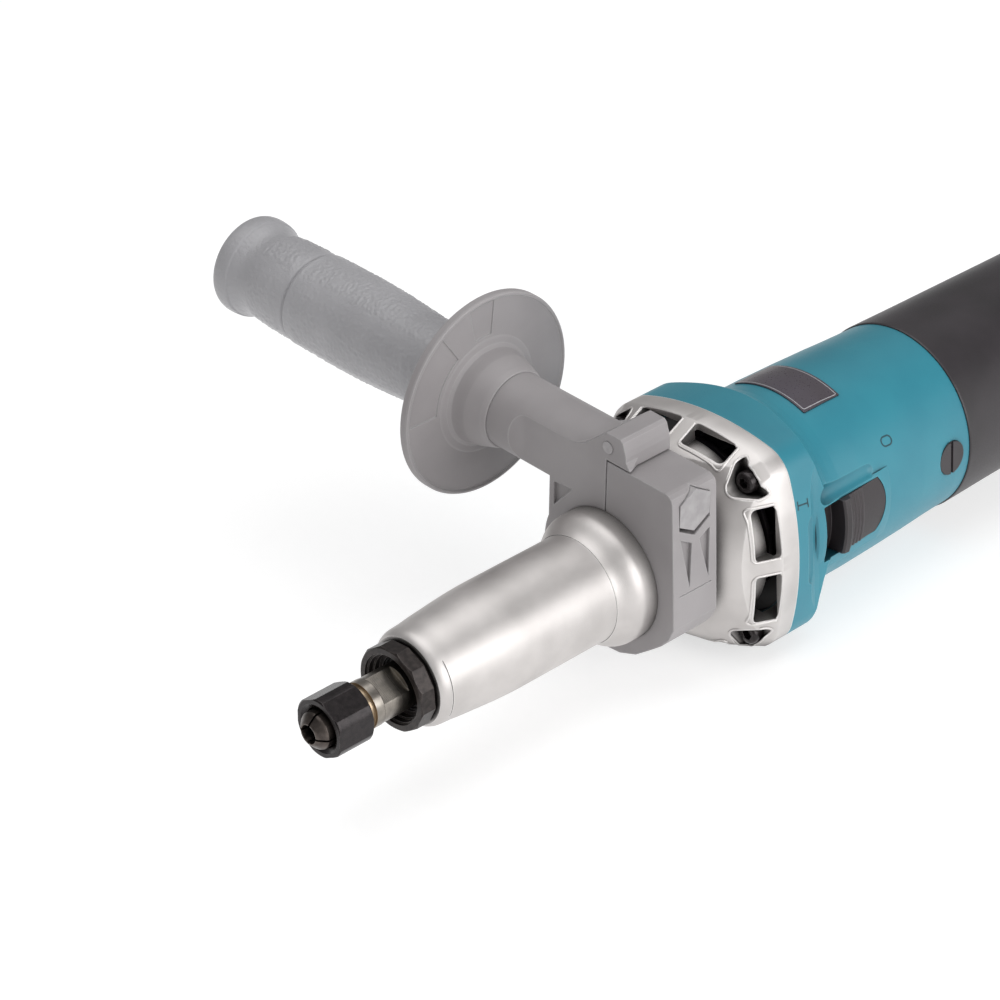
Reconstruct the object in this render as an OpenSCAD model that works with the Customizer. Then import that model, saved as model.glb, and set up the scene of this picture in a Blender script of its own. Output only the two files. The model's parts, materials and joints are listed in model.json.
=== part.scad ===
// Straight grinder with a planetary gear and a clamp-on side handle.
// X runs along the spindle from the collet nose to the rear, Y towards the handle, Z up.
// The handle has its own directions: a points along the handle, b is square to it and up.

/* [Body] */
// radius of the cast neck
neck_r = 19.4; // [18.8:0.1:20.2]
// half width of the square flange
flange_half = 41; // [40.4:0.2:42.4]
// radius of the four bowed sides of the flange
flange_crown = 104; // [96:1:112]
// radius of the flange's corners
flange_round = 12.5; // [11:0.5:14]
// radius of the motor housing behind the flange
body_r = 36.9; // [36.5:0.1:37.3]
// length of the rear cover behind the motor housing
cover_length = 121; // [120:1:129]
// side rib between two air windows, half its width
window_rib = 2.6; // [2:0.2:3.4]

/* [Spindle] */
// radius of the collet bore, half the tool's shank
shank_r = 3; // [2.9:0.05:3.2]
// width across the flats of the collet nut
nut_flats = 19.8; // [19.4:0.1:20.4]
// width across the wrench flats of the spindle
spindle_flats = 12.3; // [11.8:0.1:13]
// radius over the corners of the twelve-sided retaining ring
retainer_r = 15; // [14.6:0.1:15.6]

/* [Gears] */
// thickness taken off both flanks of a tooth
flank_play = 0.06; // [0.04:0.01:0.1]

/* [Handle] */
// turn of the handle about the neck, in degrees above level
handle_tilt = 5.43; // [0:0.01:12]
// radius of the hand guard
guard_r = 37.5; // [34:0.5:40]
// end of the grip along the handle
grip_end = 192.8; // [185:0.2:205]
// radius of the pommel at the end of the grip
pommel_r = 18.7; // [18.2:0.1:21]

/* [Controls] */
// travel of the slide switch
switch_travel = 8; // [6:0.5:8]
// radius of the speed dial
dial_r = 12; // [11:0.25:12.5]

/* [View] */
// the sub-part to show

/* [Hidden] */
$fn = 96;

// clearances: running fit, and an open gap between parts that pass each other
run = 0.05;
gap = 0.3;
// overlap used where a cut must reach past a face
past = 1;

// stations along the spindle
collet_x = -2.2;
nut_face = 2;
nut_rear = 16.5;
retainer_face = 32.5;
retainer_rear = 38.2;
neck_face = 39.7;
front_seat = 44;
rear_seat = 137;
bearing_b = 6;
clamp_front = 129.5;
clamp_rear = 150;
clamp_seat_r = 23.96;
carrier_x = 147.5;
ring_x = 152;
ring_end = 164;
plate_x = 165.5;
chamber_x = 171;
split_x = 179.9;
baffle_x = 184.5;
shoulder_x = 186;
flange_end = 190.5;
stator_x = 207;
stator_end = 247;
brush_x = 265;
cover_x = 275;
cover_end = cover_x + cover_length;
dial_x = cover_end - 24;
dial_z = 24;

// seats shared by two parts
bearing_outer_r = 12;
bearing_bore_r = 6;
thread_r = 13;
nose_r = 8;
gear_module = 1;
planet_dist = 12 * gear_module;
ring_outer = 22;
plate_r = 30;
chamber_r = flange_half - 2.5;
baffle_r = flange_half - 4;
inner_r = body_r - 3.7;
fan_bore_r = inner_r - 1.9;
cover_bore_r = body_r - 5.5;
stator_r = 29;
cap_r = body_r - 2.9;
cover_screw_r = body_r - 2.9;
rod_at = inner_r - 2.7;
rod_y = -rod_at * cos(25);
rod_z = -rod_at * sin(25);
rod_r = 1;

// flange outline: centres of the corner arcs, and where the sides run into them
crown_at = flange_half - flange_crown;
corner_at = (crown_at + sqrt(2 * (flange_crown - flange_round) ^ 2 - crown_at ^ 2)) / 2;
corner_to = corner_at * flange_crown / (flange_crown - flange_round);
corner_reach = flange_half + 7.5;

// switch window in the side of the motor housing
window_x = 196.7;
window_end = 228.3;
window_top = 9.6;
window_low = -11.6;
window_round = 17.2;
button_x = window_x + 0.2 + switch_travel;

// corner screws of the flange: place and pocket
screw_at = flange_half - 9.8;
screw_head_x = 165.5;
screw_floor = 168;
screw_shank = 2;

// handle
handle_x = 139.75;
handle_b = 34.68;
arm_r = 13.6;
arm_end = 54.9;
hub_x = 55;
guard_a = 69;
guard_t = 3.2;
bolt_r = 4;
pin_a = 1;
pin_b = 48.9;
pin_r = 2.2;
base_a = 1.7;
jaw_a = 1.1;
hex_flats = 14;

// helpers

module revolve(pts) {
  rotate([0, 90, 0]) rotate_extrude() polygon([for (p = pts) [p[1], p[0]]]);
}

module revolve_part(pts, from, to) {
  rotate([from + 90, 0, 0]) rotate([0, 90, 0])
    rotate_extrude(angle = to - from) polygon([for (p = pts) [p[1], p[0]]]);
}

module cyl_x(x0, x1, r) {
  translate([x0, 0, 0]) rotate([0, 90, 0]) cylinder(h = x1 - x0, r = r);
}

module ring_x(x0, x1, ro, ri) {
  difference() {
    cyl_x(x0, x1, ro);
    cyl_x(x0 - past, x1 + past, ri);
  }
}

module box(x0, x1, y0, y1, z0, z1) {
  translate([x0, y0, z0]) cube([x1 - x0, y1 - y0, z1 - z0]);
}

// prism along X from an outline in the Y-Z plane
module plate(x0, x1) {
  translate([x0, 0, 0]) rotate([90, 0, 90]) linear_extrude(x1 - x0) children();
}

// regular prism along X, corners at the given angle from Y
module prism_x(x0, x1, r, n, corner) {
  rotate([corner + 90, 0, 0]) translate([x0, 0, 0]) rotate([0, 90, 0])
    cylinder(h = x1 - x0, r = r, $fn = n);
}

// one bowed side of the flange, as the inside of a wide cylinder
module crown_x(x0, x1, k) {
  rotate([90 * k, 0, 0]) translate([0, 0, crown_at]) cyl_x(x0, x1, flange_crown);
}

// the flange: four bowed sides that run into round corners
module flange_x(x0, x1) {
  intersection() {
    crown_x(x0, x1, 0);
    crown_x(x0, x1, 1);
    crown_x(x0, x1, 2);
    crown_x(x0, x1, 3);
    union() {
      box(x0, x1, -60, 60, -corner_to, corner_to);
      box(x0, x1, -corner_to, corner_to, -60, 60);
      for (sy = [-1, 1], sz = [-1, 1])
        translate([0, sy * corner_at, sz * corner_at]) cyl_x(x0, x1, flange_round);
    }
  }
}

// frame of the handle, and a revolved shape about the handle's own axis
module handle_frame() {
  rotate([handle_tilt, 0, 0]) children();
}

module along_handle() {
  handle_frame() translate([handle_x, 0, handle_b]) rotate([-90, 0, 0]) children();
}

module turned_a(pts) {
  along_handle() rotate_extrude() polygon([for (p = pts) [p[1], p[0]]]);
}

module ball_ring(x, pitch_r, ball_r, n) {
  for (i = [0 : n - 1])
    rotate([i * 360 / n, 0, 0]) translate([x, pitch_r, 0]) sphere(r = ball_r, $fn = 24);
}

// outer ring with balls and two shields; the inner ring turns inside it
module bearing_outer(x0, width, outer_r, bore_r) {
  mid_i = bore_r + (outer_r - bore_r) * 0.3;
  mid_o = bore_r + (outer_r - bore_r) * 0.72;
  ball_r = (mid_o + 0.1 - mid_i - run) / 2;
  ring_x(x0, x0 + width, outer_r, mid_o);
  ring_x(x0 + 0.3, x0 + 0.7, mid_o + 0.2, mid_i + run);
  ring_x(x0 + width - 0.7, x0 + width - 0.3, mid_o + 0.2, mid_i + run);
  ball_ring(x0 + width / 2, mid_i + run + ball_r, ball_r, 9);
}

module bearing_inner(x0, width, outer_r, bore_r) {
  ring_x(x0, x0 + width, bore_r + (outer_r - bore_r) * 0.3, bore_r);
}

// gears: involute flanks, teeth counted by t, tooth centred at the start angle
function inv(a) = tan(a) * 180 / PI - a;
function roll(rb, r) = r <= rb ? 0 : inv(acos(rb / r));
function half_tooth(t, r, play) =
  90 / t + inv(20) - roll(t * gear_module / 2 * cos(20), r)
  - play / (t * gear_module / 2) * 180 / PI;
function tooth(t, c, radii, play) = concat(
  [for (r = radii) let (a = c - half_tooth(t, r, play)) [r * cos(a), r * sin(a)]],
  [for (i = [len(radii) - 1 : -1 : 0]) let (r = radii[i], a = c + half_tooth(t, r, play))
    [r * cos(a), r * sin(a)]]);
function gear_outline(t, start, radii, play) =
  [for (i = [0 : t - 1]) each tooth(t, start + i * 360 / t, radii, play)];

planet_teeth = 12;
ring_teeth = 36;
tooth_radii = [for (k = [4.75, 5.5, 6, 6.45, 6.85]) k * gear_module];
space_radii = [for (k = [17.35, 17.8, 18.3, 18.8, 19.3]) k * gear_module];

module gear(start) {
  polygon(gear_outline(planet_teeth, start, tooth_radii, flank_play));
}

// spindle group

module collet() color("#8b8580") difference() {
  revolve([[collet_x, 0], [collet_x, 3.7], [collet_x + 0.4, 4.3], [0, 6.1], [0.7, 6.5],
    [4.2, 6.5], [5.7, 7.6], [7.2, 7.6], [7.4, 6.7], [20, 4.95], [28, 4.95], [28, 0]]);
  cyl_x(-past, 28 + past, shank_r);
  revolve([[collet_x - past, 0], [collet_x - past, shank_r + 0.3], [collet_x, shank_r + 0.3],
    [0, shank_r], [0, 0]]);
  for (k = [0, 1]) rotate([10 + 90 * k, 0, 0]) box(collet_x - past, 22, -10, 10, -0.4, 0.4);
}

module collet_nut() color("#252122") difference() {
  intersection() {
    prism_x(nut_face, nut_rear, nut_flats / 2 / cos(30), 6, 35);
    revolve([[nut_face, 0], [nut_face, 10.1], [nut_face + 0.5, 10.6], [15.9, 10.6],
      [nut_rear, 10], [nut_rear, 0]]);
  }
  revolve([[nut_face - past, 0], [nut_face - past, 9.74], [nut_face, 8.6], [3.2, 7], [4.2, 7],
    [5.7, 7.75], [7.3, 7.75], [7.3, nose_r + run], [nut_rear + past, nose_r + run],
    [nut_rear + past, 0]]);
}

module spindle() color("#9a9590") difference() {
  revolve([[7.5, 0], [7.5, 7.6], [7.9, nose_r], [nut_rear, nose_r], [nut_rear, 7.2],
    [19.6, 7.2], [19.6, 8.2], [22.9, 8.2], [22.9, nose_r], [front_seat - 0.1, nose_r],
    [front_seat - 0.1, bearing_bore_r], [front_seat + bearing_b + 0.2, bearing_bore_r],
    [front_seat + bearing_b + 0.2, 7], [rear_seat - 0.2, 7], [rear_seat - 0.2, bearing_bore_r],
    [146, bearing_bore_r], [146, 5], [carrier_x + 4, 5], [carrier_x + 4, 0]]);
  revolve([[7.5 - past, 0], [7.5 - past, 6.89], [20, 5], [28.5, 5], [28.5, 4.6], [40, 4.6],
    [40, 0]]);
  for (k = [0, 180]) rotate([123.5 + k, 0, 0])
    box(23.1, 33.5, spindle_flats / 2, 12, -12, 12);
}

module front_bearing_outer() color("#b9bcc0")
  bearing_outer(front_seat, bearing_b, bearing_outer_r, bearing_bore_r);

module front_bearing_inner() color("#d2d5d8")
  bearing_inner(front_seat, bearing_b, bearing_outer_r, bearing_bore_r);

module rear_bearing_outer() color("#b9bcc0")
  bearing_outer(rear_seat, bearing_b, bearing_outer_r, bearing_bore_r);

module rear_bearing_inner() color("#d2d5d8")
  bearing_inner(rear_seat, bearing_b, bearing_outer_r, bearing_bore_r);

module planet_carrier() color("#8d9094") difference() {
  cyl_x(carrier_x, carrier_x + 4, 17);
  cyl_x(carrier_x - past, carrier_x + 4 + past, 5);
  for (k = [0, 120, 240]) rotate([k, 0, 0])
    translate([0, planet_dist, 0]) cyl_x(carrier_x + 0.8, carrier_x + 5, 2.5);
}

module planet_pins() color("#c6c9cc")
  for (k = [0, 120, 240]) rotate([k, 0, 0])
    translate([0, planet_dist, 0]) cyl_x(carrier_x + 0.8, 165, 2.5);

module carrier_cover() color("#a7aaad") difference() {
  ring_x(163.5, 165, 16.5, 8.5);
  for (k = [0, 120, 240]) rotate([k, 0, 0])
    translate([0, planet_dist, 0]) cyl_x(163, 166, 2.5);
}

module planet(k) {
  rotate([k, 0, 0]) translate([0, planet_dist, 0]) difference() {
    plate(153, 163) gear(15);
    cyl_x(152, 164, 2.5 + run);
  }
}

module planet_gear_1() color("#9b9da0") planet(0);
module planet_gear_2() color("#9b9da0") planet(120);
module planet_gear_3() color("#9b9da0") planet(240);

module ring_gear() color("#85888b") plate(ring_x, ring_end) difference() {
  circle(r = ring_outer);
  polygon(gear_outline(ring_teeth, 5, space_radii, -flank_play));
}

// cast front end

module bearing_retainer() color("#423a38") difference() {
  union() {
    intersection() {
      prism_x(retainer_face, retainer_rear, retainer_r, 12, 14);
      revolve([[retainer_face, 0], [retainer_face, retainer_r - 0.7],
        [retainer_face + 0.9, retainer_r + 0.2], [retainer_rear, retainer_r + 0.2],
        [retainer_rear, 0]]);
    }
    cyl_x(retainer_rear - 0.5, front_seat - 0.1, thread_r - run);
  }
  cyl_x(retainer_face - past, retainer_face + 1.1, 12.4);
  cyl_x(retainer_face - past, retainer_face + 3.1, 11.7);
  cyl_x(retainer_face - past, retainer_face + 5.1, 11);
  cyl_x(retainer_face - past, retainer_rear + past, 9.6);
  cyl_x(retainer_rear + 0.3, front_seat + past, 10.25);
}

module dust_seal() color("#1c1a1a") revolve([[38.6, 9.2], [38.6, 10.2], [43.6, 10.2],
  [43.6, 9.2], [41.2, 9.2], [40.6, nose_r + run], [39.8, nose_r + run], [39.8, 9.2]]);

// front surface of the casting: neck, flare, clamp seat, cone up to the flange
function rise(f) = clamp_seat_r + f * (corner_reach - clamp_seat_r);
casting = [[neck_face, 0], [neck_face, 15.44], [40.2, 16], [41, 16.5], [41.8, 16.85],
  [42.8, 17.08], [44.5, 17.22], [47.4, 17.4], [52, 17.9], [57, 18.3], [62, 18.7], [66, 19],
  [72, 19.3], [78, neck_r], [113.2, neck_r], [115, neck_r + 0.2], [116.6, 20.2], [118, 21],
  [119.4, 22], [120.8, 22.95], [122.2, 23.6], [123.6, 23.92], [124.4, clamp_seat_r],
  [150.8, clamp_seat_r], [152, rise(0.05)], [154, rise(0.165)], [156, rise(0.283)],
  [158, rise(0.393)], [160.5, rise(0.519)], [163, rise(0.654)], [166, rise(0.78)],
  [169, rise(0.882)], [171.5, rise(0.943)], [173.5, rise(0.976)], [split_x, corner_reach],
  [split_x, 0]];

// one air window: the inner wall follows a cone, the outer wall the bowed side
module air_window() {
  difference() {
    intersection() {
      box(150, 177, -window_rib - 25, -window_rib, 24, flange_half);
      translate([0, 0, crown_at]) revolve([[149, 0], [149, flange_crown - 0.9],
        [170.8, flange_crown - 0.9], [175.5, flange_crown - 3], [178, flange_crown - 3], [178, 0]]);
    }
    revolve([[149, 0], [149, flange_half - 7.4], [159, flange_half - 6.2],
      [178, flange_half - 3.9], [178, 0]]);
    translate([0, -screw_at, screw_at]) cyl_x(149, 178, 9.2);
  }
}

// rounded triangle around a corner screw, open where the surface falls away
module screw_pocket() {
  translate([0, screw_at + 0.35, screw_at + 0.35]) cyl_x(150, screw_floor, 7.05);
  for (s = [-1, 1]) translate([0, screw_at + 2.7 * s - 0.2, screw_at - 2.7 * s - 0.2])
    cyl_x(150, screw_floor, 4.4);
}

module gear_housing() color("#cfcac8") difference() {
  intersection() {
    revolve(casting);
    flange_x(neck_face - past, split_x);
  }
  // sloped and bowed front edges of the four flange sides
  for (k = [0 : 3]) rotate([90 * k, 0, 0]) translate([172, 0, flange_half])
    rotate([0, -26, 0]) difference() {
      box(-30, 0, -60, 60, -20, 20);
      translate([0, 0, -flange_crown]) cyl_x(-31, past, flange_crown);
    }
  // bores from front to rear
  cyl_x(neck_face - past, front_seat, thread_r);
  cyl_x(front_seat - past, front_seat + bearing_b + 0.1, bearing_outer_r + 0.03);
  cyl_x(front_seat, rear_seat, 9.5);
  cyl_x(rear_seat - 0.1, 147, bearing_outer_r + 0.03);
  cyl_x(146.5, ring_x, 19);
  cyl_x(ring_x - 0.2, plate_x + past, ring_outer + run);
  cyl_x(plate_x, chamber_x + past, plate_r + run);
  cyl_x(chamber_x, split_x + past, chamber_r);
  for (k = [0 : 3]) rotate([90 * k, 0, 0]) {
    air_window();
    mirror([0, 1, 0]) air_window();
    screw_pocket();
    translate([0, screw_at, screw_at]) cyl_x(screw_floor - past, split_x + past, screw_shank + 0.1);
  }
  // fine line round the neck's side, with a short hook at its upper end
  revolve_part([[43.6, 16.9], [43.6, 18], [43.85, 18], [43.85, 16.9]], 140, 212);
  rotate([140, 0, 0]) box(43.6, 44.6, 16.9, 18, -0.15, 0.15);
}

module gear_plate() color("#b7b9bb") difference() {
  union() {
    cyl_x(plate_x, chamber_x, plate_r);
    ring_x(ring_end + 0.05, plate_x + 0.5, ring_outer - 0.05, 18.6);
    cyl_x(chamber_x - past, 175.2, 13.5);
  }
  cyl_x(plate_x - past, 176, 7.3);
  cyl_x(168, 176, 11.03);
  for (k = [0 : 5]) rotate([60 * k, 0, 0]) translate([0, 22, 0]) cyl_x(168.5, 172, 4.5);
}

module housing_screws() color("#1d1b1c")
  for (k = [0 : 3]) rotate([90 * k, 0, 0]) translate([0, screw_at, screw_at]) difference() {
    union() {
      revolve([[screw_head_x, 0], [screw_head_x, 2.7], [screw_head_x + 0.5, 3.4],
        [screw_head_x + 1.2, 3.7], [screw_floor - 0.02, 3.7], [screw_floor - 0.02, 0]]);
      cyl_x(screw_floor - 0.5, flange_end, screw_shank);
    }
    prism_x(screw_head_x - past, screw_head_x + 1.8, 1.9, 6, 0);
  }

// motor housing

// outer shape behind the flange
function fall(f) = body_r + f * (corner_reach - body_r);
body_line = [[split_x, 0], [split_x, fall(1.01)], [190, fall(1.01)], [191.5, fall(0.922)],
  [194, fall(0.612)], [196.5, fall(0.353)], [198.5, fall(0.207)], [201, fall(0.095)],
  [204, fall(0.034)], [208, fall(0.004)], [219, body_r], [235, body_r - 0.4],
  [250, body_r - 0.9], [260, body_r - 1.4], [270, body_r - 1.75], [cover_x, body_r - 1.9],
  [cover_x, inner_r - 0.1], [289, inner_r - 0.1], [289, 0]];

// opening for the switch, straight in front and rounded at the rear, smaller by a margin
module window_shape(x0, margin) {
  box(x0, 212, -60, -28, window_low + margin, window_top - margin);
  intersection() {
    translate([window_end - window_round, -60, -0.5]) rotate([-90, 0, 0])
      cylinder(h = 32, r = window_round - margin);
    box(211, 235, -60, -28, window_low + margin, window_top - margin);
  }
}

// soft hollow behind the flange on the side of the switch, lower towards the frame
module side_hollow() {
  translate([189, 0, -34]) linear_extrude(68) polygon([[-6, -45], [-3.4, -41.8], [-2.6, -40.6],
    [-1.5, -39.3], [0, -38.3], [2, -37.5], [5, -37], [9, -body_r - 0.02], [21, -body_r - 0.02],
    [21, -45]]);
}

// upright channel between the flange and the frame of the window
module side_channel() {
  translate([189.3, -42.76, 0]) {
    translate([0, 0, -11.4]) cylinder(h = 19.7, r = 5);
    translate([0, 0, -11.4]) sphere(r = 5);
    translate([0, 0, 8.3]) sphere(r = 5);
  }
}

module motor_shell() {
  difference() {
    intersection() {
      revolve(body_line);
      flange_x(split_x, 290);
    }
    cyl_x(split_x - past, shoulder_x, baffle_r + run);
    cyl_x(split_x, 285.2, fan_bore_r);
    cyl_x(split_x, 273, inner_r);
    side_hollow();
    for (k = [0 : 3]) rotate([90 * k, 0, 0]) translate([0, screw_at, screw_at])
      cyl_x(split_x - past, flange_end + 0.5, screw_shank + 0.02);
  }
}

// raised frame round the switch window
module window_frame() {
  revolve_part([[192, inner_r + 1], [192, body_r + 0.9], [193, body_r + 1.5],
    [195, body_r + 1.6], [200, body_r + 1.2], [212, body_r + 0.7], [227, body_r + 0.4],
    [231, body_r - 0.2], [233, body_r - 0.7], [233, inner_r + 1]], 162.8, 206);
}

module motor_housing() color("#3f8b99") difference() {
  union() {
    motor_shell();
    window_frame();
    // lands that hold the stator
    intersection() {
      ring_x(stator_x - 2, stator_end + 2, inner_r + 0.5, stator_r);
      for (k = [45, 135]) rotate([k, 0, 0]) box(190, 270, -40, 40, -4, 4);
    }
    // seats of the brush holders
    for (s = [-1, 1]) translate([brush_x, 0, 0]) rotate([-90 * s, 0, 0])
      translate([0, 0, 18]) cylinder(h = inner_r - 17.6, r = 8.5);
    // rear wall with the bearing seat
    ring_x(285, 288, inner_r - 1.2, 8);
    ring_x(277.8, 285.5, 12.5, 9.53);
  }
  side_channel();
  window_shape(window_x, 0);
  // soft groove above the frame
  rotate([159.6, 0, 0]) translate([0, body_r + 3.2, 0]) {
    cyl_x(199, 222, 4);
    translate([199, 0, 0]) sphere(r = 4);
    translate([222, 0, 0]) sphere(r = 4);
  }
  for (s = [-1, 1]) translate([brush_x, 0, 0]) rotate([-90 * s, 0, 0]) {
    translate([-3.8, -5.3, 10]) cube([7.6, 10.6, 20]);
    translate([0, 0, cap_r - 5]) cylinder(h = 12, r = 5.6);
    translate([0, 0, cap_r]) cylinder(h = 12, r = 6.3);
  }
  // openings in the rear wall for air and for the switch rod
  for (k = [25, 90, 155, 205, 270, 335]) rotate([k, 0, 0])
    translate([0, 22.5, 0]) cyl_x(284, 290, 6.5);
  translate([0, rod_y, rod_z]) cyl_x(272, 292, rod_r + 1);
  // threads of the two cover screws
  for (k = [240, 300]) rotate([k, 0, 0]) translate([282, cover_screw_r - 6, 0])
    rotate([-90, 0, 0]) cylinder(h = 8, r = 1.5);
}

module label_plate() color("#3e393d") revolve_part([[210.1, body_r + 0.08],
  [219, body_r + 0.02], [227.9, body_r - 0.2], [227.9, body_r + 0.12], [219, body_r + 0.34],
  [210.1, body_r + 0.4]], 65, 116);

module fan_baffle() color("#2b2b2d") ring_x(baffle_x, shoulder_x, baffle_r, 22);

// motor

module armature_shaft() color("#a9adb1") revolve([[152.5, 0], [152.5, 3], [167.5, 3],
  [167.5, 4], [175.2, 4], [175.2, 5], [256, 5], [256, 4.5], [277.8, 4.5], [277.8, 3.5],
  [285, 3.5], [285, 0]]);

module sun_pinion() color("#9b9da0") difference() {
  plate(152.5, 166) gear(0);
  cyl_x(152, 167, 3);
}

module armature_core() color("#6f7276") difference() {
  cyl_x(stator_x, stator_end, 16.5);
  cyl_x(stator_x - past, stator_end + past, 5);
  for (i = [0 : 11]) rotate([30 * i, 0, 0]) {
    translate([0, 14, 0]) cyl_x(stator_x - past, stator_end + past, 1.6);
    box(stator_x - past, stator_end + past, 14, 18, -0.5, 0.5);
  }
}

module armature_winding() color("#b4693a") {
  revolve([[199, 6.5], [199, 13], [200.5, 15], [204, 15.8], [stator_x, 15.8], [stator_x, 5],
    [201, 5], [201, 6.5]]);
  revolve([[stator_end, 5], [stator_end, 15.8], [251, 15.4], [254, 13], [255.5, 11.5],
    [255.5, 6.5], [253, 5]]);
  for (i = [0 : 11]) rotate([30 * i, 0, 0])
    translate([0, 14, 0]) cyl_x(stator_x - 0.5, stator_end + 0.5, 1.55);
}

module commutator() color("#b87445") difference() {
  cyl_x(258, 272, 11);
  cyl_x(257, 273, 4.5);
  for (i = [0 : 11]) rotate([15 * i + 7.5, 0, 0]) box(259, 273, -12, 12, -0.2, 0.2);
  cyl_x(258.8, 273, 6);
}

module cooling_fan() color("#22252a") {
  ring_x(176, 177.5, 31, 5);
  ring_x(176, 184, 8.5, 5);
  for (i = [0 : 15]) rotate([22.5 * i, 0, 0]) translate([177, 8, -0.7])
    rotate([18, 0, 0]) cube([6.6, 22, 1.4]);
}

module motor_bearing_front_outer() color("#b9bcc0") bearing_outer(168, 7, 11, 4);
module motor_bearing_front_inner() color("#d2d5d8") bearing_inner(168, 7, 11, 4);
module motor_bearing_rear_outer() color("#b9bcc0") bearing_outer(278, 6, 9.5, 3.5);
module motor_bearing_rear_inner() color("#d2d5d8") bearing_inner(278, 6, 9.5, 3.5);

module stator_core() color("#787c80") difference() {
  ring_x(stator_x, stator_end, stator_r - 0.03, 17.2);
  for (k = [28, 138, 208, 318]) revolve_part([[stator_x - past, 17], [stator_x - past, 27.1],
    [stator_end + past, 27.1], [stator_end + past, 17]], k - 0.5, k + 14.5);
}

module field_coils() color("#a85f35")
  for (h = [0, 180]) rotate([h, 0, 0]) {
    revolve_part([[199.5, 19], [199.5, 27], [stator_x - 0.1, 27], [stator_x - 0.1, 19]], 28, 152);
    revolve_part([[stator_end + 0.1, 19], [stator_end + 0.1, 27], [254.5, 27], [254.5, 19]],
      28, 152);
    for (k = [28, 138]) revolve_part([[stator_x - 0.5, 19.4], [stator_x - 0.5, 26.6],
      [stator_end + 0.5, 26.6], [stator_end + 0.5, 19.4]], k + 0.6, k + 13.4);
  }

module brush_frame(s) {
  translate([brush_x, 0, 0]) rotate([-90 * s, 0, 0]) children();
}

module brush_holders() color("#b8964a")
  for (s = [-1, 1]) brush_frame(s) difference() {
    translate([-3.75, -5.25, 13.5]) cube([7.5, 10.5, cap_r - 18.6]);
    translate([-2.55, -4.05, 12]) cube([5.1, 8.1, 20]);
  }

module carbon_brushes() color("#2a2a2c") difference() {
  for (s = [-1, 1]) brush_frame(s) translate([-2.5, -4, 9]) cube([5, 8, 14]);
  cyl_x(255, 275, 11 + run);
}

module brush_springs() color("#c9a55c")
  for (s = [-1, 1]) brush_frame(s) {
    for (i = [0 : 6]) translate([0, 0, 23.45 + i * 0.85])
      rotate_extrude() translate([1.9, 0]) circle(r = 0.46, $fn = 16);
  }

module brush_caps() color("#26262a")
  for (s = [-1, 1]) brush_frame(s) difference() {
    union() {
      translate([0, 0, cap_r - 4.9]) cylinder(h = 5, r = 5.55);
      translate([0, 0, cap_r + 0.02]) cylinder(h = 1.5, r = 6.2);
    }
    translate([-0.6, -8, cap_r + 0.7]) cube([1.2, 16, 3]);
  }

// rear cover and controls

cover_line = [[cover_x + 0.05, 0], [cover_x + 0.05, body_r - 1.6], [cover_x + 0.6, body_r - 1.4],
  [298, body_r - 1.84], [cover_end - 66, body_r - 2.3], [cover_end - 36, body_r - 2.7],
  [cover_end - 16, body_r - 3.3], [cover_end - 10, body_r - 4.1], [cover_end - 6, body_r - 5.7],
  [cover_end - 2.5, body_r - 8.7], [cover_end - 0.4, body_r - 12.5], [cover_end, body_r - 14.9],
  [cover_end, 0]];

module rear_cover() color("#3a3539") difference() {
  union() {
    difference() {
      revolve(cover_line);
      cyl_x(cover_x - past, 289.1, inner_r - 0.05);
      cyl_x(288, cover_end - 18, cover_bore_r);
      revolve([[cover_end - 19, 0], [cover_end - 19, cover_bore_r], [cover_end - 18, cover_bore_r],
        [cover_end - 10, cover_bore_r - 1.6], [cover_end - 6, cover_bore_r - 4.4],
        [cover_end - 3.5, 22], [cover_end - 3.5, 0]]);
    }
    // ribs that carry the switch and the controller
    intersection() {
      cyl_x(289.2, cover_end - 11, cover_bore_r + 0.6);
      union() {
        for (x = [304, 318]) box(x, x + 3, -24, -12, -40, -16.05);
        for (x = [dial_x - 30, dial_x + 2]) box(x, x + 3, -11, 11, -40, -2.05);
      }
    }
  }
  cyl_x(cover_end - 5, cover_end + past, 8.25);
  // slot of the dial
  box(dial_x - 11, dial_x + 11, -3.4, 3.4, 24, 40);
  // air slots on both sides
  for (i = [0 : 6], s = [-1, 1]) rotate([s * 90 + (i - 3) * 9, 0, 0])
    translate([0, 0, 26]) box(dial_x - 28, dial_x - 4, -1.1, 1.1, 0, 12);
  // seats of the two screws
  for (k = [240, 300]) rotate([k, 0, 0]) translate([282, 0, 0]) rotate([-90, 0, 0]) {
    translate([0, 0, cover_screw_r - 4]) cylinder(h = 8, r = 1.6);
    translate([0, 0, cover_screw_r]) cylinder(h = 4, r = 3.05);
  }
  // groove for the rod
  translate([0, rod_y, rod_z]) cyl_x(289, 316, rod_r + gap);
}

module rear_cover_screws() color("#1d1b1c")
  for (k = [240, 300]) rotate([k, 0, 0]) translate([282, 0, 0]) rotate([-90, 0, 0])
    difference() {
      union() {
        translate([0, 0, cover_screw_r - 5.5]) cylinder(h = 5.6, r = 1.45);
        translate([0, 0, cover_screw_r + 0.02]) cylinder(h = 1.2, r = 3);
      }
      translate([0, 0, cover_screw_r + 0.6]) cylinder(h = 2, r = 1.3, $fn = 6);
    }

module switch_unit() color("#202024") {
  box(300, 326, rod_y + 1.34, -10, -16, -3);
  for (y = [-22, -14]) box(326 - 0.5, 331, y - 1.5, y + 1.5, -10, -9);
}

module speed_controller() color("#2d5b46") difference() {
  union() {
    box(dial_x - 34, dial_x + 12, -12, 12, -2, 7);
    for (y = [-5.5, 3.5]) box(dial_x - 4, dial_x + 4, y, y + 2, 6, dial_z + 4);
  }
  translate([dial_x, -8, dial_z]) rotate([-90, 0, 0]) cylinder(h = 16, r = 2 + run);
}

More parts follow.
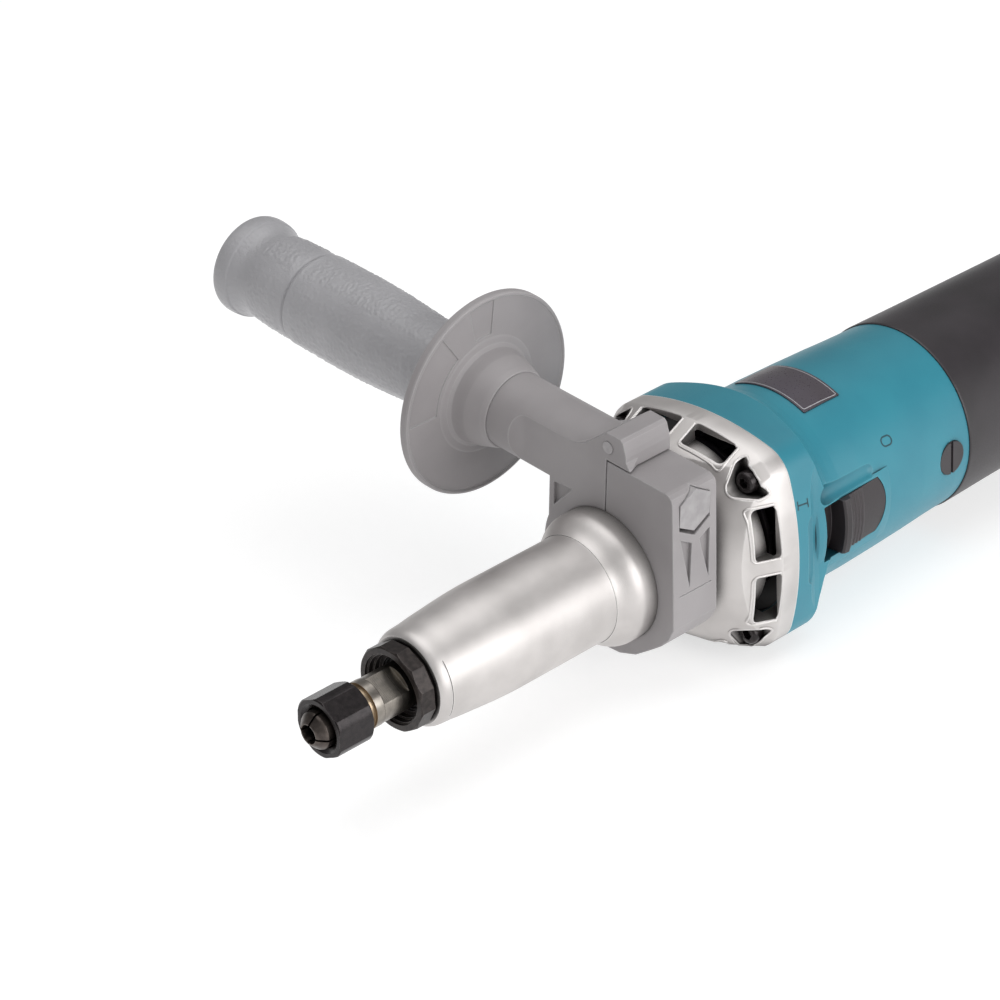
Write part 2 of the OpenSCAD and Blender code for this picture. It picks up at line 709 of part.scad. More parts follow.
module speed_dial() color("#1f1d1f") translate([dial_x, 0, dial_z]) rotate([-90, 0, 0]) {
  difference() {
    translate([0, 0, -3]) cylinder(h = 6, r = dial_r);
    for (i = [0 : 23]) rotate([0, 0, 15 * i]) translate([dial_r + 0.35, 0, -4])
      cylinder(h = 8, r = 0.9);
  }
  translate([0, 0, -5.4]) cylinder(h = 10.8, r = 2);
}

module cord_inlet() color("#1b1a1b") difference() {
  union() {
    cyl_x(cover_end - 6.4, cover_end - 3.6, 12);
    cyl_x(cover_end - 4, cover_end + 1, 8.2);
    revolve([[cover_end + 0.1, 0], [cover_end + 0.1, 10], [cover_end + 1, 10.2],
      [cover_end + 5, 9.2], [cover_end + 6, 8.4], [cover_end + 6, 0]]);
  }
  cyl_x(cover_end - 8, cover_end + 8, 4.2);
}

// slide switch

// button: a thumb ridge in front, fine ribs behind it, then a gentle slope to the rear
button_line = concat([[button_x, inner_r - 0.8], [button_x, body_r + 2.4],
  [button_x + 0.7, body_r + 3.1], [button_x + 2.6, body_r + 3.3], [button_x + 3.4, body_r + 2.9],
  [button_x + 4.2, body_r + 1.7]],
  [for (i = [0 : 3], p = [[4.6, 1.3], [5, 1.6], [5.6, 1.6], [6, 1.3]])
    [button_x + p[0] + 1.8 * i, body_r + p[1] - 0.1 * i]],
  [[window_end, body_r + 0.1], [window_end, inner_r - 0.8]]);

module switch_slider() color("#2c2629") {
  // curved plate under the housing's wall
  revolve_part([[window_x - 2.2, inner_r - 1.5], [window_x - 2.2, inner_r - 0.15],
    [window_end + switch_travel + 2.2, inner_r - 0.15],
    [window_end + switch_travel + 2.2, inner_r - 1.5]], 163, 210);
  intersection() {
    revolve(button_line);
    window_shape(button_x - past, 0.2);
  }
}

module switch_rod() color("#8f9296")
  translate([0, rod_y, rod_z]) cyl_x(229, 314, rod_r);

// clamp of the side handle

lug = [[base_a, 44], [-7.6, 44], [-7.2, 48.2], [-6.7, 50.2], [-5.6, 53.2], [-4.5, 54.2],
  [2, 54.2], [11.5, 46.1], [11.5, 40], [base_a, 40]];

module arm() {
  intersection() {
    translate([handle_x, 0, handle_b]) rotate([-90, 0, 0]) cylinder(h = arm_end, r = arm_r);
    difference() {
      box(120, 160, base_a, arm_end, 0, 60);
      box(119, clamp_front, 0, 39, -1, 61);
      box(clamp_rear, 161, 0, 39, -1, 61);
      translate([clamp_front - 6, 39, -1]) cylinder(h = 62, r = 6);
      translate([clamp_rear + 6, 39, -1]) cylinder(h = 62, r = 6);
    }
  }
}

module clamp_base() color("#8f8b8c") handle_frame() difference() {
  union() {
    intersection() {
      cyl_x(clamp_front, clamp_rear, 29.3);
      box(120, 160, base_a, 40, -40, 20);
    }
    plate(clamp_front, clamp_rear) polygon([[base_a, 0], [27.5, 0], [27.5, 43.4], [16, 43.8],
      [11.5, 46.1], [base_a, 46.1]]);
    plate(clamp_front, clamp_rear) polygon(lug);
    // small sloped gusset beside the lug
    intersection() {
      plate(clamp_front, 138) polygon([[-6.5, 47.8], [-9.2, 44], [-6.5, 44]]);
      translate([0, 0, 43]) linear_extrude(6)
        polygon([[clamp_front, -9.5], [137, -6.5], [clamp_front, -6.5]]);
    }
    arm();
  }
  cyl_x(120, 160, clamp_seat_r + run);
  // three-cornered recess in the front face
  plate(clamp_front - past, clamp_front + 1.2)
    polygon([[25.4, 24.3], [16.9, 25.2], [25.2, 15.3]]);
  // bolt hole, pin hole and the pocket of the jaw's knuckle
  translate([handle_x, -10, handle_b]) rotate([-90, 0, 0]) cylinder(h = 80, r = bolt_r + run);
  translate([0, pin_a, pin_b]) cyl_x(120, 160, pin_r);
  box(132.9, 147.1, pin_a - 4.8, pin_a + 4.7, 40, pin_b + 3.75);
}

module hinge_pin() color("#a5a1a2") handle_frame()
  translate([0, pin_a, pin_b]) cyl_x(clamp_front - 0.3, clamp_rear, pin_r);

jaw_line = [[jaw_a, 20], [jaw_a, 43.3], [-25.2, 43.3], [-26.6, 42.9], [-27.9, 41.9], [-28.5, 40.4],
  [-28.7, 38], [-30.3, 13.7], [-31.6, -7.5], [-29.5, -12.5], [-26.2, -16.5], [-20.9, -20.9],
  [-15, -25.6], [-7.6, -28.6], [jaw_a, -29.5]];

module jaw_hex(x0, x1, r, drop) {
  translate([handle_x, 0, handle_b - drop]) rotate([90, 0, 0]) rotate([0, 0, 30])
    translate([0, 0, x0]) cylinder(h = x1 - x0, r = r, $fn = 6);
}

module clamp_jaw() color("#8c8889") handle_frame() difference() {
  union() {
    plate(clamp_front, clamp_rear) polygon(jaw_line);
    translate([0, pin_a, pin_b]) cyl_x(133.2, 146.8, 3.5);
    box(133.2, 146.8, pin_a - 3.4, jaw_a, 42, pin_b);
  }
  cyl_x(120, 160, clamp_seat_r + run);
  translate([0, pin_a, pin_b]) cyl_x(120, 160, pin_r + run);
  // pocket of the nut, with room below for the jaw's swing
  for (d = [0, 0.7, 1.4]) jaw_hex(20.6, 40, hex_flats / 2 / cos(30) + 0.2, d);
  // bolt hole with the same room
  for (d = [0, 0.7, 1.3]) translate([handle_x, -40, handle_b - d]) rotate([-90, 0, 0])
    cylinder(h = 50, r = bolt_r + 0.2);
  // recesses and edge lines of the side face
  side_cut([[133.1, 25.7], [138.4, 22.5], [137.3, 5.9]], 1.6);
  side_cut([[146.9, 25.1], [141.9, 22.7], [146.2, 6.4]], 1.6);
  side_cut([[132.6, 4.5], [147.5, 4.3], [147.5, 3.9], [132.6, 4.1]], 0.5);
}

// shallow cut from the jaw's side face, outline in X and b
module side_cut(pts, deep) {
  intersection() {
    translate([0, -20, 0]) rotate([90, 0, 0]) linear_extrude(20) polygon(pts);
    rotate([-3.8, 0, 0]) box(120, 160, -50, -31.15 + deep, -60, 60);
  }
}

module clamp_nut() color("#adaaab") handle_frame() difference() {
  jaw_hex(21, 29.2, hex_flats / 2 / cos(30), 0);
  translate([handle_x, -26.5, handle_b]) rotate([-90, 0, 0]) cylinder(h = 8, r = bolt_r + run);
}

module handle_bolt() color("#9b9ea1") {
  along_handle() translate([0, 0, -26.2]) cylinder(h = 104, r = bolt_r);
  along_handle() translate([0, 0, 74]) cylinder(h = 5, r = 7.5, $fn = 6);
}

module hand_guard() color("#8b8b8b") difference() {
  turned_a([[hub_x, bolt_r], [hub_x, 14.1], [57, 15], [59, 15.6], [62.8, 16.8], [66, 17.4],
    [67.6, 17.9], [68.5, 19], [guard_a - 0.2, 21.2], [guard_a, 21.6], [guard_a, guard_r - 1.6],
    [guard_a - 0.5, guard_r - 1.1], [guard_a - 0.3, guard_r - 0.3], [guard_a + 0.3, guard_r],
    [guard_a + guard_t - 0.6, guard_r], [guard_a + guard_t, guard_r - 0.6],
    [guard_a + guard_t, bolt_r]]);
  // two shallow sectors in the clamp side of the disc
  along_handle() translate([0, 0, guard_a - 1]) {
    guard_sector(-179, -125);
    guard_sector(-103, -85);
  }
}

module guard_sector(from, to) {
  rotate([0, 0, from]) rotate_extrude(angle = to - from)
    translate([23, 0]) square([guard_r - 1.8 - 23, 1.4]);
}

module grip_sleeve() color("#8f8f8f") difference() {
  turned_a([[guard_a + guard_t, 0], [guard_a + guard_t, 15], [84, 15.3], [93, 15.6],
    [101.5, 16], [108, 16.45], [114.5, 16.9], [121, 17.2], [127, 17.35], [136, 17.5],
    [146, 17.4], [153, 17.3], [155, 17.15], [156, 16.6], [157, 17], [162, 17.05], [169, 16.9],
    [175.5, 16.55], [178.5, 16.3], [181, 16.5], [grip_end - 9.2, pommel_r - 1.3],
    [grip_end - 7, pommel_r - 0.4], [grip_end - 4.4, pommel_r], [grip_end - 1.8, pommel_r - 0.2],
    [grip_end - 0.4, pommel_r - 1], [grip_end, pommel_r - 2.4], [grip_end, 12.5],
    [grip_end - 1.2, 11.5], [grip_end - 1.2, 0]]);
  along_handle() translate([0, 0, 60]) cylinder(h = 17.8, r = bolt_r);
  along_handle() translate([0, 0, 74]) cylinder(h = 5, r = 7.5, $fn = 6);
}

collet();
collet_nut();
spindle();
front_bearing_outer();
front_bearing_inner();
rear_bearing_outer();
rear_bearing_inner();
planet_carrier();
planet_pins();
carrier_cover();
planet_gear_1();
planet_gear_2();
planet_gear_3();
ring_gear();
bearing_retainer();
dust_seal();
gear_housing();
gear_plate();
housing_screws();
motor_housing();
fan_baffle();
armature_shaft();
sun_pinion();
armature_core();
armature_winding();
commutator();
cooling_fan();
motor_bearing_front_outer();
motor_bearing_front_inner();
motor_bearing_rear_outer();
motor_bearing_rear_inner();
stator_core();
field_coils();
brush_holders();
carbon_brushes();
brush_springs();
brush_caps();
label_plate();
rear_cover();
rear_cover_screws();
switch_unit();
speed_controller();
cord_inlet();
speed_dial();
switch_slider();
switch_rod();
clamp_base();
hinge_pin();
clamp_jaw();
clamp_nut();
handle_bolt();
hand_guard();
grip_sleeve();
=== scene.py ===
# %% [markdown]
# # A straight grinder with a side handle
# The tool is a long cast neck, a square flange with air windows, a moulded motor housing and a
# clamp-on handle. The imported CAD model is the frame: every piece below is placed in it, in metres.
# X runs from the collet to the cord inlet, Y points to the handle, Z is up.

# %% Load the frame
import json
import math

import bmesh
import bpy
from mathutils import Matrix, Vector


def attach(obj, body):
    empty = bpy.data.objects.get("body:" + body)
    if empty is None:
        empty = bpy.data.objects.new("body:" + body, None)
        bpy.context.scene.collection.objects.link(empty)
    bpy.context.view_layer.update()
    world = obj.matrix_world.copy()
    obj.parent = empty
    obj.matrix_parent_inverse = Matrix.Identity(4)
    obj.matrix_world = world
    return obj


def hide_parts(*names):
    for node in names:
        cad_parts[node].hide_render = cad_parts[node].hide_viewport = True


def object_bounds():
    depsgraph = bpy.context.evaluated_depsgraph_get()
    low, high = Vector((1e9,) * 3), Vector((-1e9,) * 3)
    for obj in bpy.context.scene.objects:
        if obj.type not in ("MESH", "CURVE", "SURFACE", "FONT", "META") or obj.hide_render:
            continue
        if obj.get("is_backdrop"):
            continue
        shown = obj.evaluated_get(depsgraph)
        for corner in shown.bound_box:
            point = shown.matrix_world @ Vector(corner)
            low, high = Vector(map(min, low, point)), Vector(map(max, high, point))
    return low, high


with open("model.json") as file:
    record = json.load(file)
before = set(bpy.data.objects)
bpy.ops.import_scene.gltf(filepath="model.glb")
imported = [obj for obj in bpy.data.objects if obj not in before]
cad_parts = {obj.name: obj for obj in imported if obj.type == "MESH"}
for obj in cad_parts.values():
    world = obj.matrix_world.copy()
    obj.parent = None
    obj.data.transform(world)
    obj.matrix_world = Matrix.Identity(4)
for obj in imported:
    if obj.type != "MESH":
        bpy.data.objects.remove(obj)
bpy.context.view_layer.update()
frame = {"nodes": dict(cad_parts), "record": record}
nodes = frame["nodes"]
MM = 0.001

# %% [markdown]
# ## The camera of the photograph
# The place and the three directions were solved from the traced neck, flange and handle, so that the
# model lands on its picture. A long lens of 130 mm keeps the lines of the tool almost parallel.

# %% Place the camera
CAMERA_PLACE = Vector((-587.467, -745.634, 607.438)) * MM
CAMERA_RIGHT = Vector((0.72165534, -0.69017705, -0.05356501))
CAMERA_UP = Vector((0.37120566, 0.32049954, 0.87148517))
CAMERA_BACK = Vector((-0.5843115, -0.64879556, 0.48748783))
LENS_MM = 129.56
scene = bpy.context.scene
camera_data = bpy.data.cameras.new("camera")
camera_data.lens = LENS_MM
camera_data.sensor_width = 36
camera_data.clip_start = 0.05
camera = bpy.data.objects.new("camera", camera_data)
scene.collection.objects.link(camera)
turn = Matrix((CAMERA_RIGHT, CAMERA_UP, CAMERA_BACK)).transposed().to_4x4()
camera.matrix_world = Matrix.Translation(CAMERA_PLACE) @ turn
scene.camera = camera
print("camera at", [round(v, 3) for v in camera.matrix_world.translation])

# %% [markdown]
# ## Colours and one helper for nodes
# Colours are written as screen hex values and turned to the linear values that the renderer works
# with. One function adds any node, with its settings, values and links. A node that is given as a
# value stands for its first output.

# %% The kinds of node that are used most
MATH, VECTOR, MAP_RANGE = "ShaderNodeMath", "ShaderNodeVectorMath", "ShaderNodeMapRange"
NOISE, RAMP, MIX = "ShaderNodeTexNoise", "ShaderNodeValToRGB", "ShaderNodeMix"
print("kinds:", MATH, VECTOR, MAP_RANGE, NOISE, RAMP, MIX)


# %% Colour and node helpers
def linear(code):
    """An sRGB hex value as linear RGBA."""
    parts = [int(code[i : i + 2], 16) / 255 for i in (1, 3, 5)]
    return [c / 12.92 if c <= 0.04045 else ((c + 0.055) / 1.055) ** 2.4 for c in parts] + [1.0]


def fill(node, inputs):
    """Gives a node's inputs their values and links."""
    for key, value in inputs.items():
        if isinstance(value, bpy.types.Node):
            value = value.outputs[0]
        if isinstance(value, bpy.types.NodeSocket):
            node.id_data.links.new(value, node.inputs[key])
        else:
            node.inputs[key].default_value = value


def add(tree, kind, inputs=None, stops=(), **settings):
    """A node of that kind: its settings, the colours of its ramp, its values and its links."""
    made = tree.nodes.new(kind)
    for name, value in settings.items():
        setattr(made, name, value)
    for k, (position, code) in enumerate(stops):
        made.color_ramp.elements[k].position = position
        made.color_ramp.elements[k].color = linear(code)
    fill(made, inputs or {})
    return made


def lumps(place, size_mm, detail):
    """The inputs of a soft noise whose lumps are that many millimetres across."""
    return {"Vector": place, "Scale": 1 / (size_mm * MM), "Detail": detail}


def span(value, low, high, to_low=0.0, to_high=1.0):
    """The inputs that bring a value from one range to another and keep it there."""
    return {"Value": value, "From Min": low, "From Max": high, "To Min": to_low, "To Max": to_high}


def gloss(pattern, smooth, dull):
    """The inputs that turn a noise, which lies mostly between 0.3 and 0.7, to a roughness."""
    return span(pattern, 0.3, 0.7, smooth, dull)


def tones(low, high):
    """The two colour stops of a ramp, placed so that a noise reaches both."""
    return ((0.35, low), (0.65, high))


def start(name):
    """A new material: its tree, the point on the surface in metres, and its shader."""
    made = bpy.data.materials.new(name)
    made.use_nodes = True
    tree = made.node_tree
    tree.nodes.clear()
    place = add(tree, "ShaderNodeTexCoord").outputs["Object"]
    shader = add(tree, "ShaderNodeBsdfPrincipled")
    add(tree, "ShaderNodeOutputMaterial", {"Surface": shader})
    return made, tree, place, shader


def edge_mask(tree, radius_mm):
    """1 near an edge and 0 elsewhere: how far the rounded direction leaves the true one."""
    rounded = add(tree, "ShaderNodeBevel", {"Radius": radius_mm * MM}, samples=6)
    true = add(tree, "ShaderNodeNewGeometry").outputs["True Normal"]
    along = add(tree, VECTOR, {0: rounded, 1: true}, operation="DOT_PRODUCT").outputs["Value"]
    return add(tree, MAP_RANGE, span(along, 0.995, 0.88))


def sheltered(tree, tone, dark, reach_mm, low, high):
    """Darkens a tone where other surfaces close by shut out the light, as in a pocket."""
    sky = add(tree, "ShaderNodeAmbientOcclusion", {"Distance": reach_mm * MM}, samples=8)
    share = add(tree, MAP_RANGE, span(sky.outputs["AO"], low, high))
    return add(tree, MIX, {0: share, 6: linear(dark), 7: tone}, data_type="RGBA").outputs[2]


def relief(tree, height, depth_mm, edge_mm):
    """A pattern of that depth on a surface whose sharp edges are rounded to that radius."""
    rounded = add(tree, "ShaderNodeBevel", {"Radius": edge_mm * MM}, samples=6)
    given = {"Height": height, "Distance": depth_mm * MM, "Strength": 1.0, "Normal": rounded}
    return add(tree, "ShaderNodeBump", given)


print("node helpers ready")

# %% [markdown]
# ## Bead-blasted cast aluminium
# The gear housing is a die casting, blasted with fine beads. That leaves a silky grey with a grain of
# about 0.3 mm. The edges get a painted highlight, and painted shade darkens the pockets, the windows
# and other places close to other surfaces.


# %% Cast aluminium
def cast_aluminium():
    made, tree, place, shader = start("bead_blasted_cast_aluminium")
    grain = add(tree, NOISE, lumps(place, 0.35, 2.0))
    cloud = add(tree, NOISE, lumps(place, 14, 3.0))
    tone = add(tree, RAMP, {"Fac": cloud}, stops=tones("#c1bdbb", "#cdc9c7"))
    # painted highlight: near the edges the colour is mixed towards a near-white grey
    lighter = {0: edge_mask(tree, 0.9), 6: tone, 7: linear("#f4f2f0")}
    edge_wear_and_highlight = add(tree, MIX, lighter, data_type="RGBA").outputs[2]
    # painted shade: where other surfaces are close, in the pockets, the windows and beside the clamp,
    # the colour goes dark brown
    colour = sheltered(tree, edge_wear_and_highlight, "#1b1715", 11, 0.32, 0.8)
    rough = add(tree, MAP_RANGE, gloss(cloud, 0.42, 0.5))
    raised = relief(tree, grain, 0.03, 0.7)
    fill(shader, {"Base Color": colour, "Metallic": 0.82, "Roughness": rough, "Normal": raised})
    return made


CAST_ALUMINIUM = cast_aluminium()
print("material:", CAST_ALUMINIUM.name)

# %% [markdown]
# ## Turned and ground steel
# The spindle, the collet and the pins are turned and ground. The tool leaves fine rings round the
# axis, here 0.25 mm apart, so the pattern depends on the distance along X. The groove of the spindle
# keeps the straw colour that hardening leaves, which a band between two distances along X gives.


# %% Ground steel
def ground_steel(name, low, high, roughness, ring_mm=0.25, metallic=1.0, straw_band=None):
    made, tree, place, shader = start(name)
    reach = add(tree, "ShaderNodeSeparateXYZ", {0: place}).outputs["X"]
    line = add(tree, "ShaderNodeCombineXYZ", {"X": reach})
    rings = add(tree, NOISE, lumps(line, ring_mm, 2.0))
    cloud = add(tree, NOISE, lumps(place, 4, 3.0))
    tone = add(tree, RAMP, {"Fac": cloud}, stops=tones(low, high))
    if straw_band:
        middle, half, code = straw_band
        away = add(tree, MATH, {0: reach, 1: middle * MM}, operation="SUBTRACT")
        away = add(tree, MATH, {0: away}, operation="ABSOLUTE")
        inside = add(tree, MATH, {0: away, 1: half * MM}, operation="LESS_THAN")
        tone = add(tree, MIX, {0: inside, 6: tone, 7: linear(code)}, data_type="RGBA").outputs[2]
    rough = add(tree, MAP_RANGE, gloss(rings, roughness - 0.05, roughness + 0.07))
    raised = relief(tree, rings, 0.01, 0.25)
    fill(shader, {"Base Color": tone, "Metallic": metallic, "Roughness": rough, "Normal": raised})
    return made


GROUND_STEEL = ground_steel("ground_steel", "#7e7973", "#98928a", 0.3)
STRAW = (18.05, 1.6, "#a5937c")
SPINDLE_STEEL = ground_steel("ground_spindle_steel", "#7e7973", "#98928a", 0.3, straw_band=STRAW)
COLLET_STEEL = ground_steel("hardened_collet_steel", "#4a4441", "#675f5a", 0.34, ring_mm=0.4)
ZINC_STEEL = ground_steel("zinc_plated_steel", "#979495", "#a5a2a3", 0.5, ring_mm=0.6, metallic=0.35)
GEAR_STEEL = ground_steel("hardened_gear_steel", "#83868a", "#9a9da1", 0.34)
BEARING_STEEL = ground_steel("bearing_steel", "#bcc0c4", "#cdd0d3", 0.18)
LAMINATION_STEEL = ground_steel("stacked_lamination_steel", "#63676b", "#7d8185", 0.45, ring_mm=0.5)
print("steels: 7")

# %% [markdown]
# ## Black-oxide steel
# The collet nut, the retaining ring and the screws are blackened in a hot salt bath. The layer is thin
# and dull, follows every turning mark, and wears to a brown grey on the edges.


# %% Black-oxide steel
def black_oxide(name, body, worn, roughness):
    made, tree, place, shader = start(name)
    cloud = add(tree, NOISE, lumps(place, 1.6, 4.0))
    grain = add(tree, NOISE, lumps(place, 0.3, 2.0))
    tone = add(tree, RAMP, {"Fac": cloud}, stops=tones(*body))
    # the wear on the edges comes in patches
    patches = add(tree, MATH, {0: edge_mask(tree, 0.3), 1: cloud}, operation="MULTIPLY")
    edge_wear_and_highlight = add(tree, MIX, {0: patches, 6: tone, 7: linear(worn)}, data_type="RGBA").outputs[2]
    raised = relief(tree, grain, 0.015, 0.3)
    fill(shader, {"Base Color": edge_wear_and_highlight, "Metallic": 0.55, "Roughness": roughness, "Normal": raised})
    return made


BLACK_OXIDE = black_oxide("black_oxide_steel", ("#1d191a", "#2b2627"), "#6f6a68", 0.27)
RING_BLACK = black_oxide("black_oxide_ring_steel", ("#221d1c", "#352f2d"), "#77716e", 0.33)
print("materials:", BLACK_OXIDE.name, RING_BLACK.name)

# %% [markdown]
# ## Moulded glass-filled nylon
# The housings and the handle are injection moulded nylon with glass fibre. The mould is spark eroded,
# so the skin has a fine even grain of about 0.4 mm that breaks up the gloss.


# %% Moulded nylon
def moulded_nylon(
    name, low, high, roughness, grain=(0.4, 0.02), edge_mm=0.5, edge_highlight_colour=None, hollow_shade_colour=None
):
    """The grain is its size and depth in mm; edges may get a painted highlight, hollows painted shade.
    """
    made, tree, place, shader = start(name)
    grain_mm, grain_depth = grain
    skin = add(tree, NOISE, lumps(place, grain_mm, 2.0))
    cloud = add(tree, NOISE, lumps(place, 25, 3.0))
    tone = add(tree, RAMP, {"Fac": cloud}, stops=tones(low, high))
    # painted highlight: near the edges the tone is mixed towards a lighter colour
    if edge_highlight_colour:
        lighter = {0: edge_mask(tree, edge_mm), 6: tone, 7: linear(edge_highlight_colour)}
        tone = add(tree, MIX, lighter, data_type="RGBA").outputs[2]
    # painted shade: where other surfaces are close, as in hollows, the tone goes darker
    if hollow_shade_colour:
        tone = sheltered(tree, tone, hollow_shade_colour, 8, 0.5, 0.97)
    rough = add(tree, MAP_RANGE, gloss(skin, roughness - 0.04, roughness + 0.06))
    raised = relief(tree, skin, grain_depth, edge_mm)
    fill(shader, {"Base Color": tone, "IOR": 1.53, "Roughness": rough, "Normal": raised})
    return made


# teal, with a painted highlight on its edges and painted shade in its hollows
TEAL_NYLON = moulded_nylon(
    "teal_moulded_nylon", "#25788a", "#2a7f90", 0.4, edge_mm=0.8, edge_highlight_colour="#4a9bab", hollow_shade_colour="#0c3a46"
)
BLACK_NYLON = moulded_nylon("black_moulded_nylon", "#231f22", "#2e292d", 0.42)
# grey, with a painted highlight on its edges
GREY_NYLON = moulded_nylon(
    "grey_moulded_nylon", "#8d898a", "#959192", 0.55, edge_mm=0.9, edge_highlight_colour="#a9a6a7"
)
GRIP_NYLON = moulded_nylon("grey_pebbled_nylon", "#9a999c", "#a3a2a5", 0.36, grain=(1.3, 0.25))
# dark, with a painted highlight on its edges
SWITCH_NYLON = moulded_nylon("dark_switch_nylon", "#1f1a1c", "#292326", 0.5, edge_highlight_colour="#554d50")
print("nylons: 5")

# %% [markdown]
# ## Small materials inside the tool
# Copper wire under enamel, brass, pressed carbon, rubber and a potted board. They are seen through the
# air windows at most, so each has its colour, its gloss and one pattern.

# %% Inner materials
COPPER = ground_steel("enamelled_copper_wire", "#8f4c26", "#b5673a", 0.35, ring_mm=0.6, metallic=0.7)
BRASS = ground_steel("drawn_brass", "#a8873f", "#c4a259", 0.3)
CARBON = moulded_nylon("pressed_carbon", "#232325", "#303033", 0.6)
RUBBER = moulded_nylon("moulded_nitrile_rubber", "#181717", "#222020", 0.55)
BOARD = moulded_nylon("potted_circuit_board", "#234a38", "#2f5f49", 0.25)
LABEL_FILM = moulded_nylon("bare_polyester_label", "#3f393d", "#48424a", 0.3, grain=(0.6, 0.004))
LABEL_LINE = moulded_nylon("printed_silver_line", "#a9a8ac", "#b9b8bc", 0.4, grain=(0.3, 0.003))
MARK_INK = moulded_nylon("printed_dark_ink", "#123a44", "#184650", 0.5, grain=(0.3, 0.003))
NUMBER_WHITE = moulded_nylon("printed_white_ink", "#d8d8d6", "#e4e4e2", 0.5, grain=(0.3, 0.003))
print("inner materials and inks: 9")

# %% [markdown]
# ## Finishes for the CAD nodes
# Every CAD node names a material slot in its record. One table turns the slot to a finish, and a
# second one gives seven pieces a finish of their own, such as zinc on the clamp's nut, pin and bolt.

# %% Give every CAD node its finish
FINISHES = {
    "cast_aluminium": CAST_ALUMINIUM,
    "machined_aluminium": CAST_ALUMINIUM,
    "teal_plastic": TEAL_NYLON,
    "black_plastic": BLACK_NYLON,
    "grey_plastic": GREY_NYLON,
    "black_steel": BLACK_OXIDE,
    "bright_steel": GROUND_STEEL,
    "gear_steel": GEAR_STEEL,
    "bearing_steel": BEARING_STEEL,
    "lamination_steel": LAMINATION_STEEL,
    "copper": COPPER,
    "brass": BRASS,
    "carbon": CARBON,
    "seal_rubber": RUBBER,
    "circuit_green": BOARD,
    "label_film": LABEL_FILM,
}
slots = {piece["node"]: piece["material_slot"] for piece in frame["record"]["subparts"]}
for name, piece in nodes.items():
    piece.data.materials.clear()
    piece.data.materials.append(FINISHES[slots[name]])
SPECIAL = {
    "bearing_retainer": RING_BLACK,
    "switch_slider": SWITCH_NYLON,
    "spindle": SPINDLE_STEEL,
    "collet": COLLET_STEEL,
    "clamp_nut": ZINC_STEEL,
    "hinge_pin": ZINC_STEEL,
    "handle_bolt": ZINC_STEEL,
}
for name, finish in SPECIAL.items():
    nodes[name].data.materials[0] = finish
print("finished nodes:", len(nodes))

# %% [markdown]
# ## Tools for Geometry Nodes
# A tree is a small recipe: named inputs go in, a mesh comes out. The helpers below start a tree, run it
# on an object, and turn the result into a plain mesh, because a finished piece carries no modifier.


# %% Start a tree, run it, and keep the mesh
def new_tree(name, inputs):
    """A tree with these float or integer inputs, and where its geometry and values come in."""
    tree = bpy.data.node_groups.new(name, "GeometryNodeTree")
    tree.interface.new_socket(name="Geometry", in_out="INPUT", socket_type="NodeSocketGeometry")
    for title, value in inputs.items():
        kind = "NodeSocketInt" if isinstance(value, int) else "NodeSocketFloat"
        made = tree.interface.new_socket(name=title, in_out="INPUT", socket_type=kind)
        made.default_value = value
    tree.interface.new_socket(name="Geometry", in_out="OUTPUT", socket_type="NodeSocketGeometry")
    return tree, add(tree, "NodeGroupInput").outputs


def close_tree(tree, geometry, finish):
    """The last steps of every tree: real geometry, not instances, then smooth, then its material."""
    real = add(tree, "GeometryNodeRealizeInstances", {0: geometry})
    smooth = add(tree, "GeometryNodeSetShadeSmooth", {"Geometry": real})
    painted = add(tree, "GeometryNodeSetMaterial", {"Geometry": smooth, "Material": finish})
    add(tree, "NodeGroupOutput", {0: painted})


def placed(name, mesh):
    """A new object in the scene."""
    made = bpy.data.objects.new(name, mesh)
    scene.collection.objects.link(made)
    return made


def kept_mesh(name, work):
    """The mesh of a bmesh that is done, and the bmesh is let go."""
    mesh = bpy.data.meshes.new(name)
    work.to_mesh(mesh)
    work.free()
    return mesh


def frozen(made):
    """The object's mesh with its modifiers applied."""
    bpy.context.view_layer.update()
    return bpy.data.meshes.new_from_object(made.evaluated_get(bpy.context.evaluated_depsgraph_get()))


def triangles(mesh):
    return sum(len(face.vertices) - 2 for face in mesh.polygons)


def grow(name, tree, values, mesh=None):
    """Runs a tree on a mesh and returns a plain object without the modifier."""
    raw = placed(name, mesh or bpy.data.meshes.new(name))
    step = raw.modifiers.new("recipe", "NODES")
    step.node_group = tree
    for item in tree.interface.items_tree:
        if item.in_out == "INPUT" and item.name in values:
            step[item.identifier] = values[item.name]
    grown = frozen(raw)
    raw.modifiers.clear()
    raw.data = grown
    grown.name = name
    print(name, "triangles:", triangles(grown))
    return raw


def swept(tree, path, radius, steps):
    """Sweeps a circle along a curve and closes both ends."""
    circle = add(tree, "GeometryNodeCurvePrimitiveCircle", {"Resolution": steps, "Radius": radius})
    given = {"Curve": path, "Profile Curve": circle, "Fill Caps": True}
    return add(tree, "GeometryNodeCurveToMesh", given)


print("tree helpers ready")

# %% [markdown]
# ## The pebbled grip
# The grip is moulded in soft grey plastic over the handle bolt. Its skin has leather-like pebbles about
# 1.2 mm wide in four panels, with smooth strips between them and a smooth waist near the pommel. A bump
# texture alone would look flat against the light, so the sleeve is turned as a fine mesh and a tree
# lifts each point by the rule of the pebbles. The strips are where the two halves of the mould meet.

# %% The handle's own directions
TILT = math.radians(5.43)
ALONG = Vector((0, math.cos(TILT), math.sin(TILT)))
ACROSS = Vector((0, -math.sin(TILT), math.cos(TILT)))
HANDLE_PLACE = Vector((139.75, 0, 0)) * MM + ACROSS * 34.68 * MM
print("handle points along", [round(v, 3) for v in ALONG])


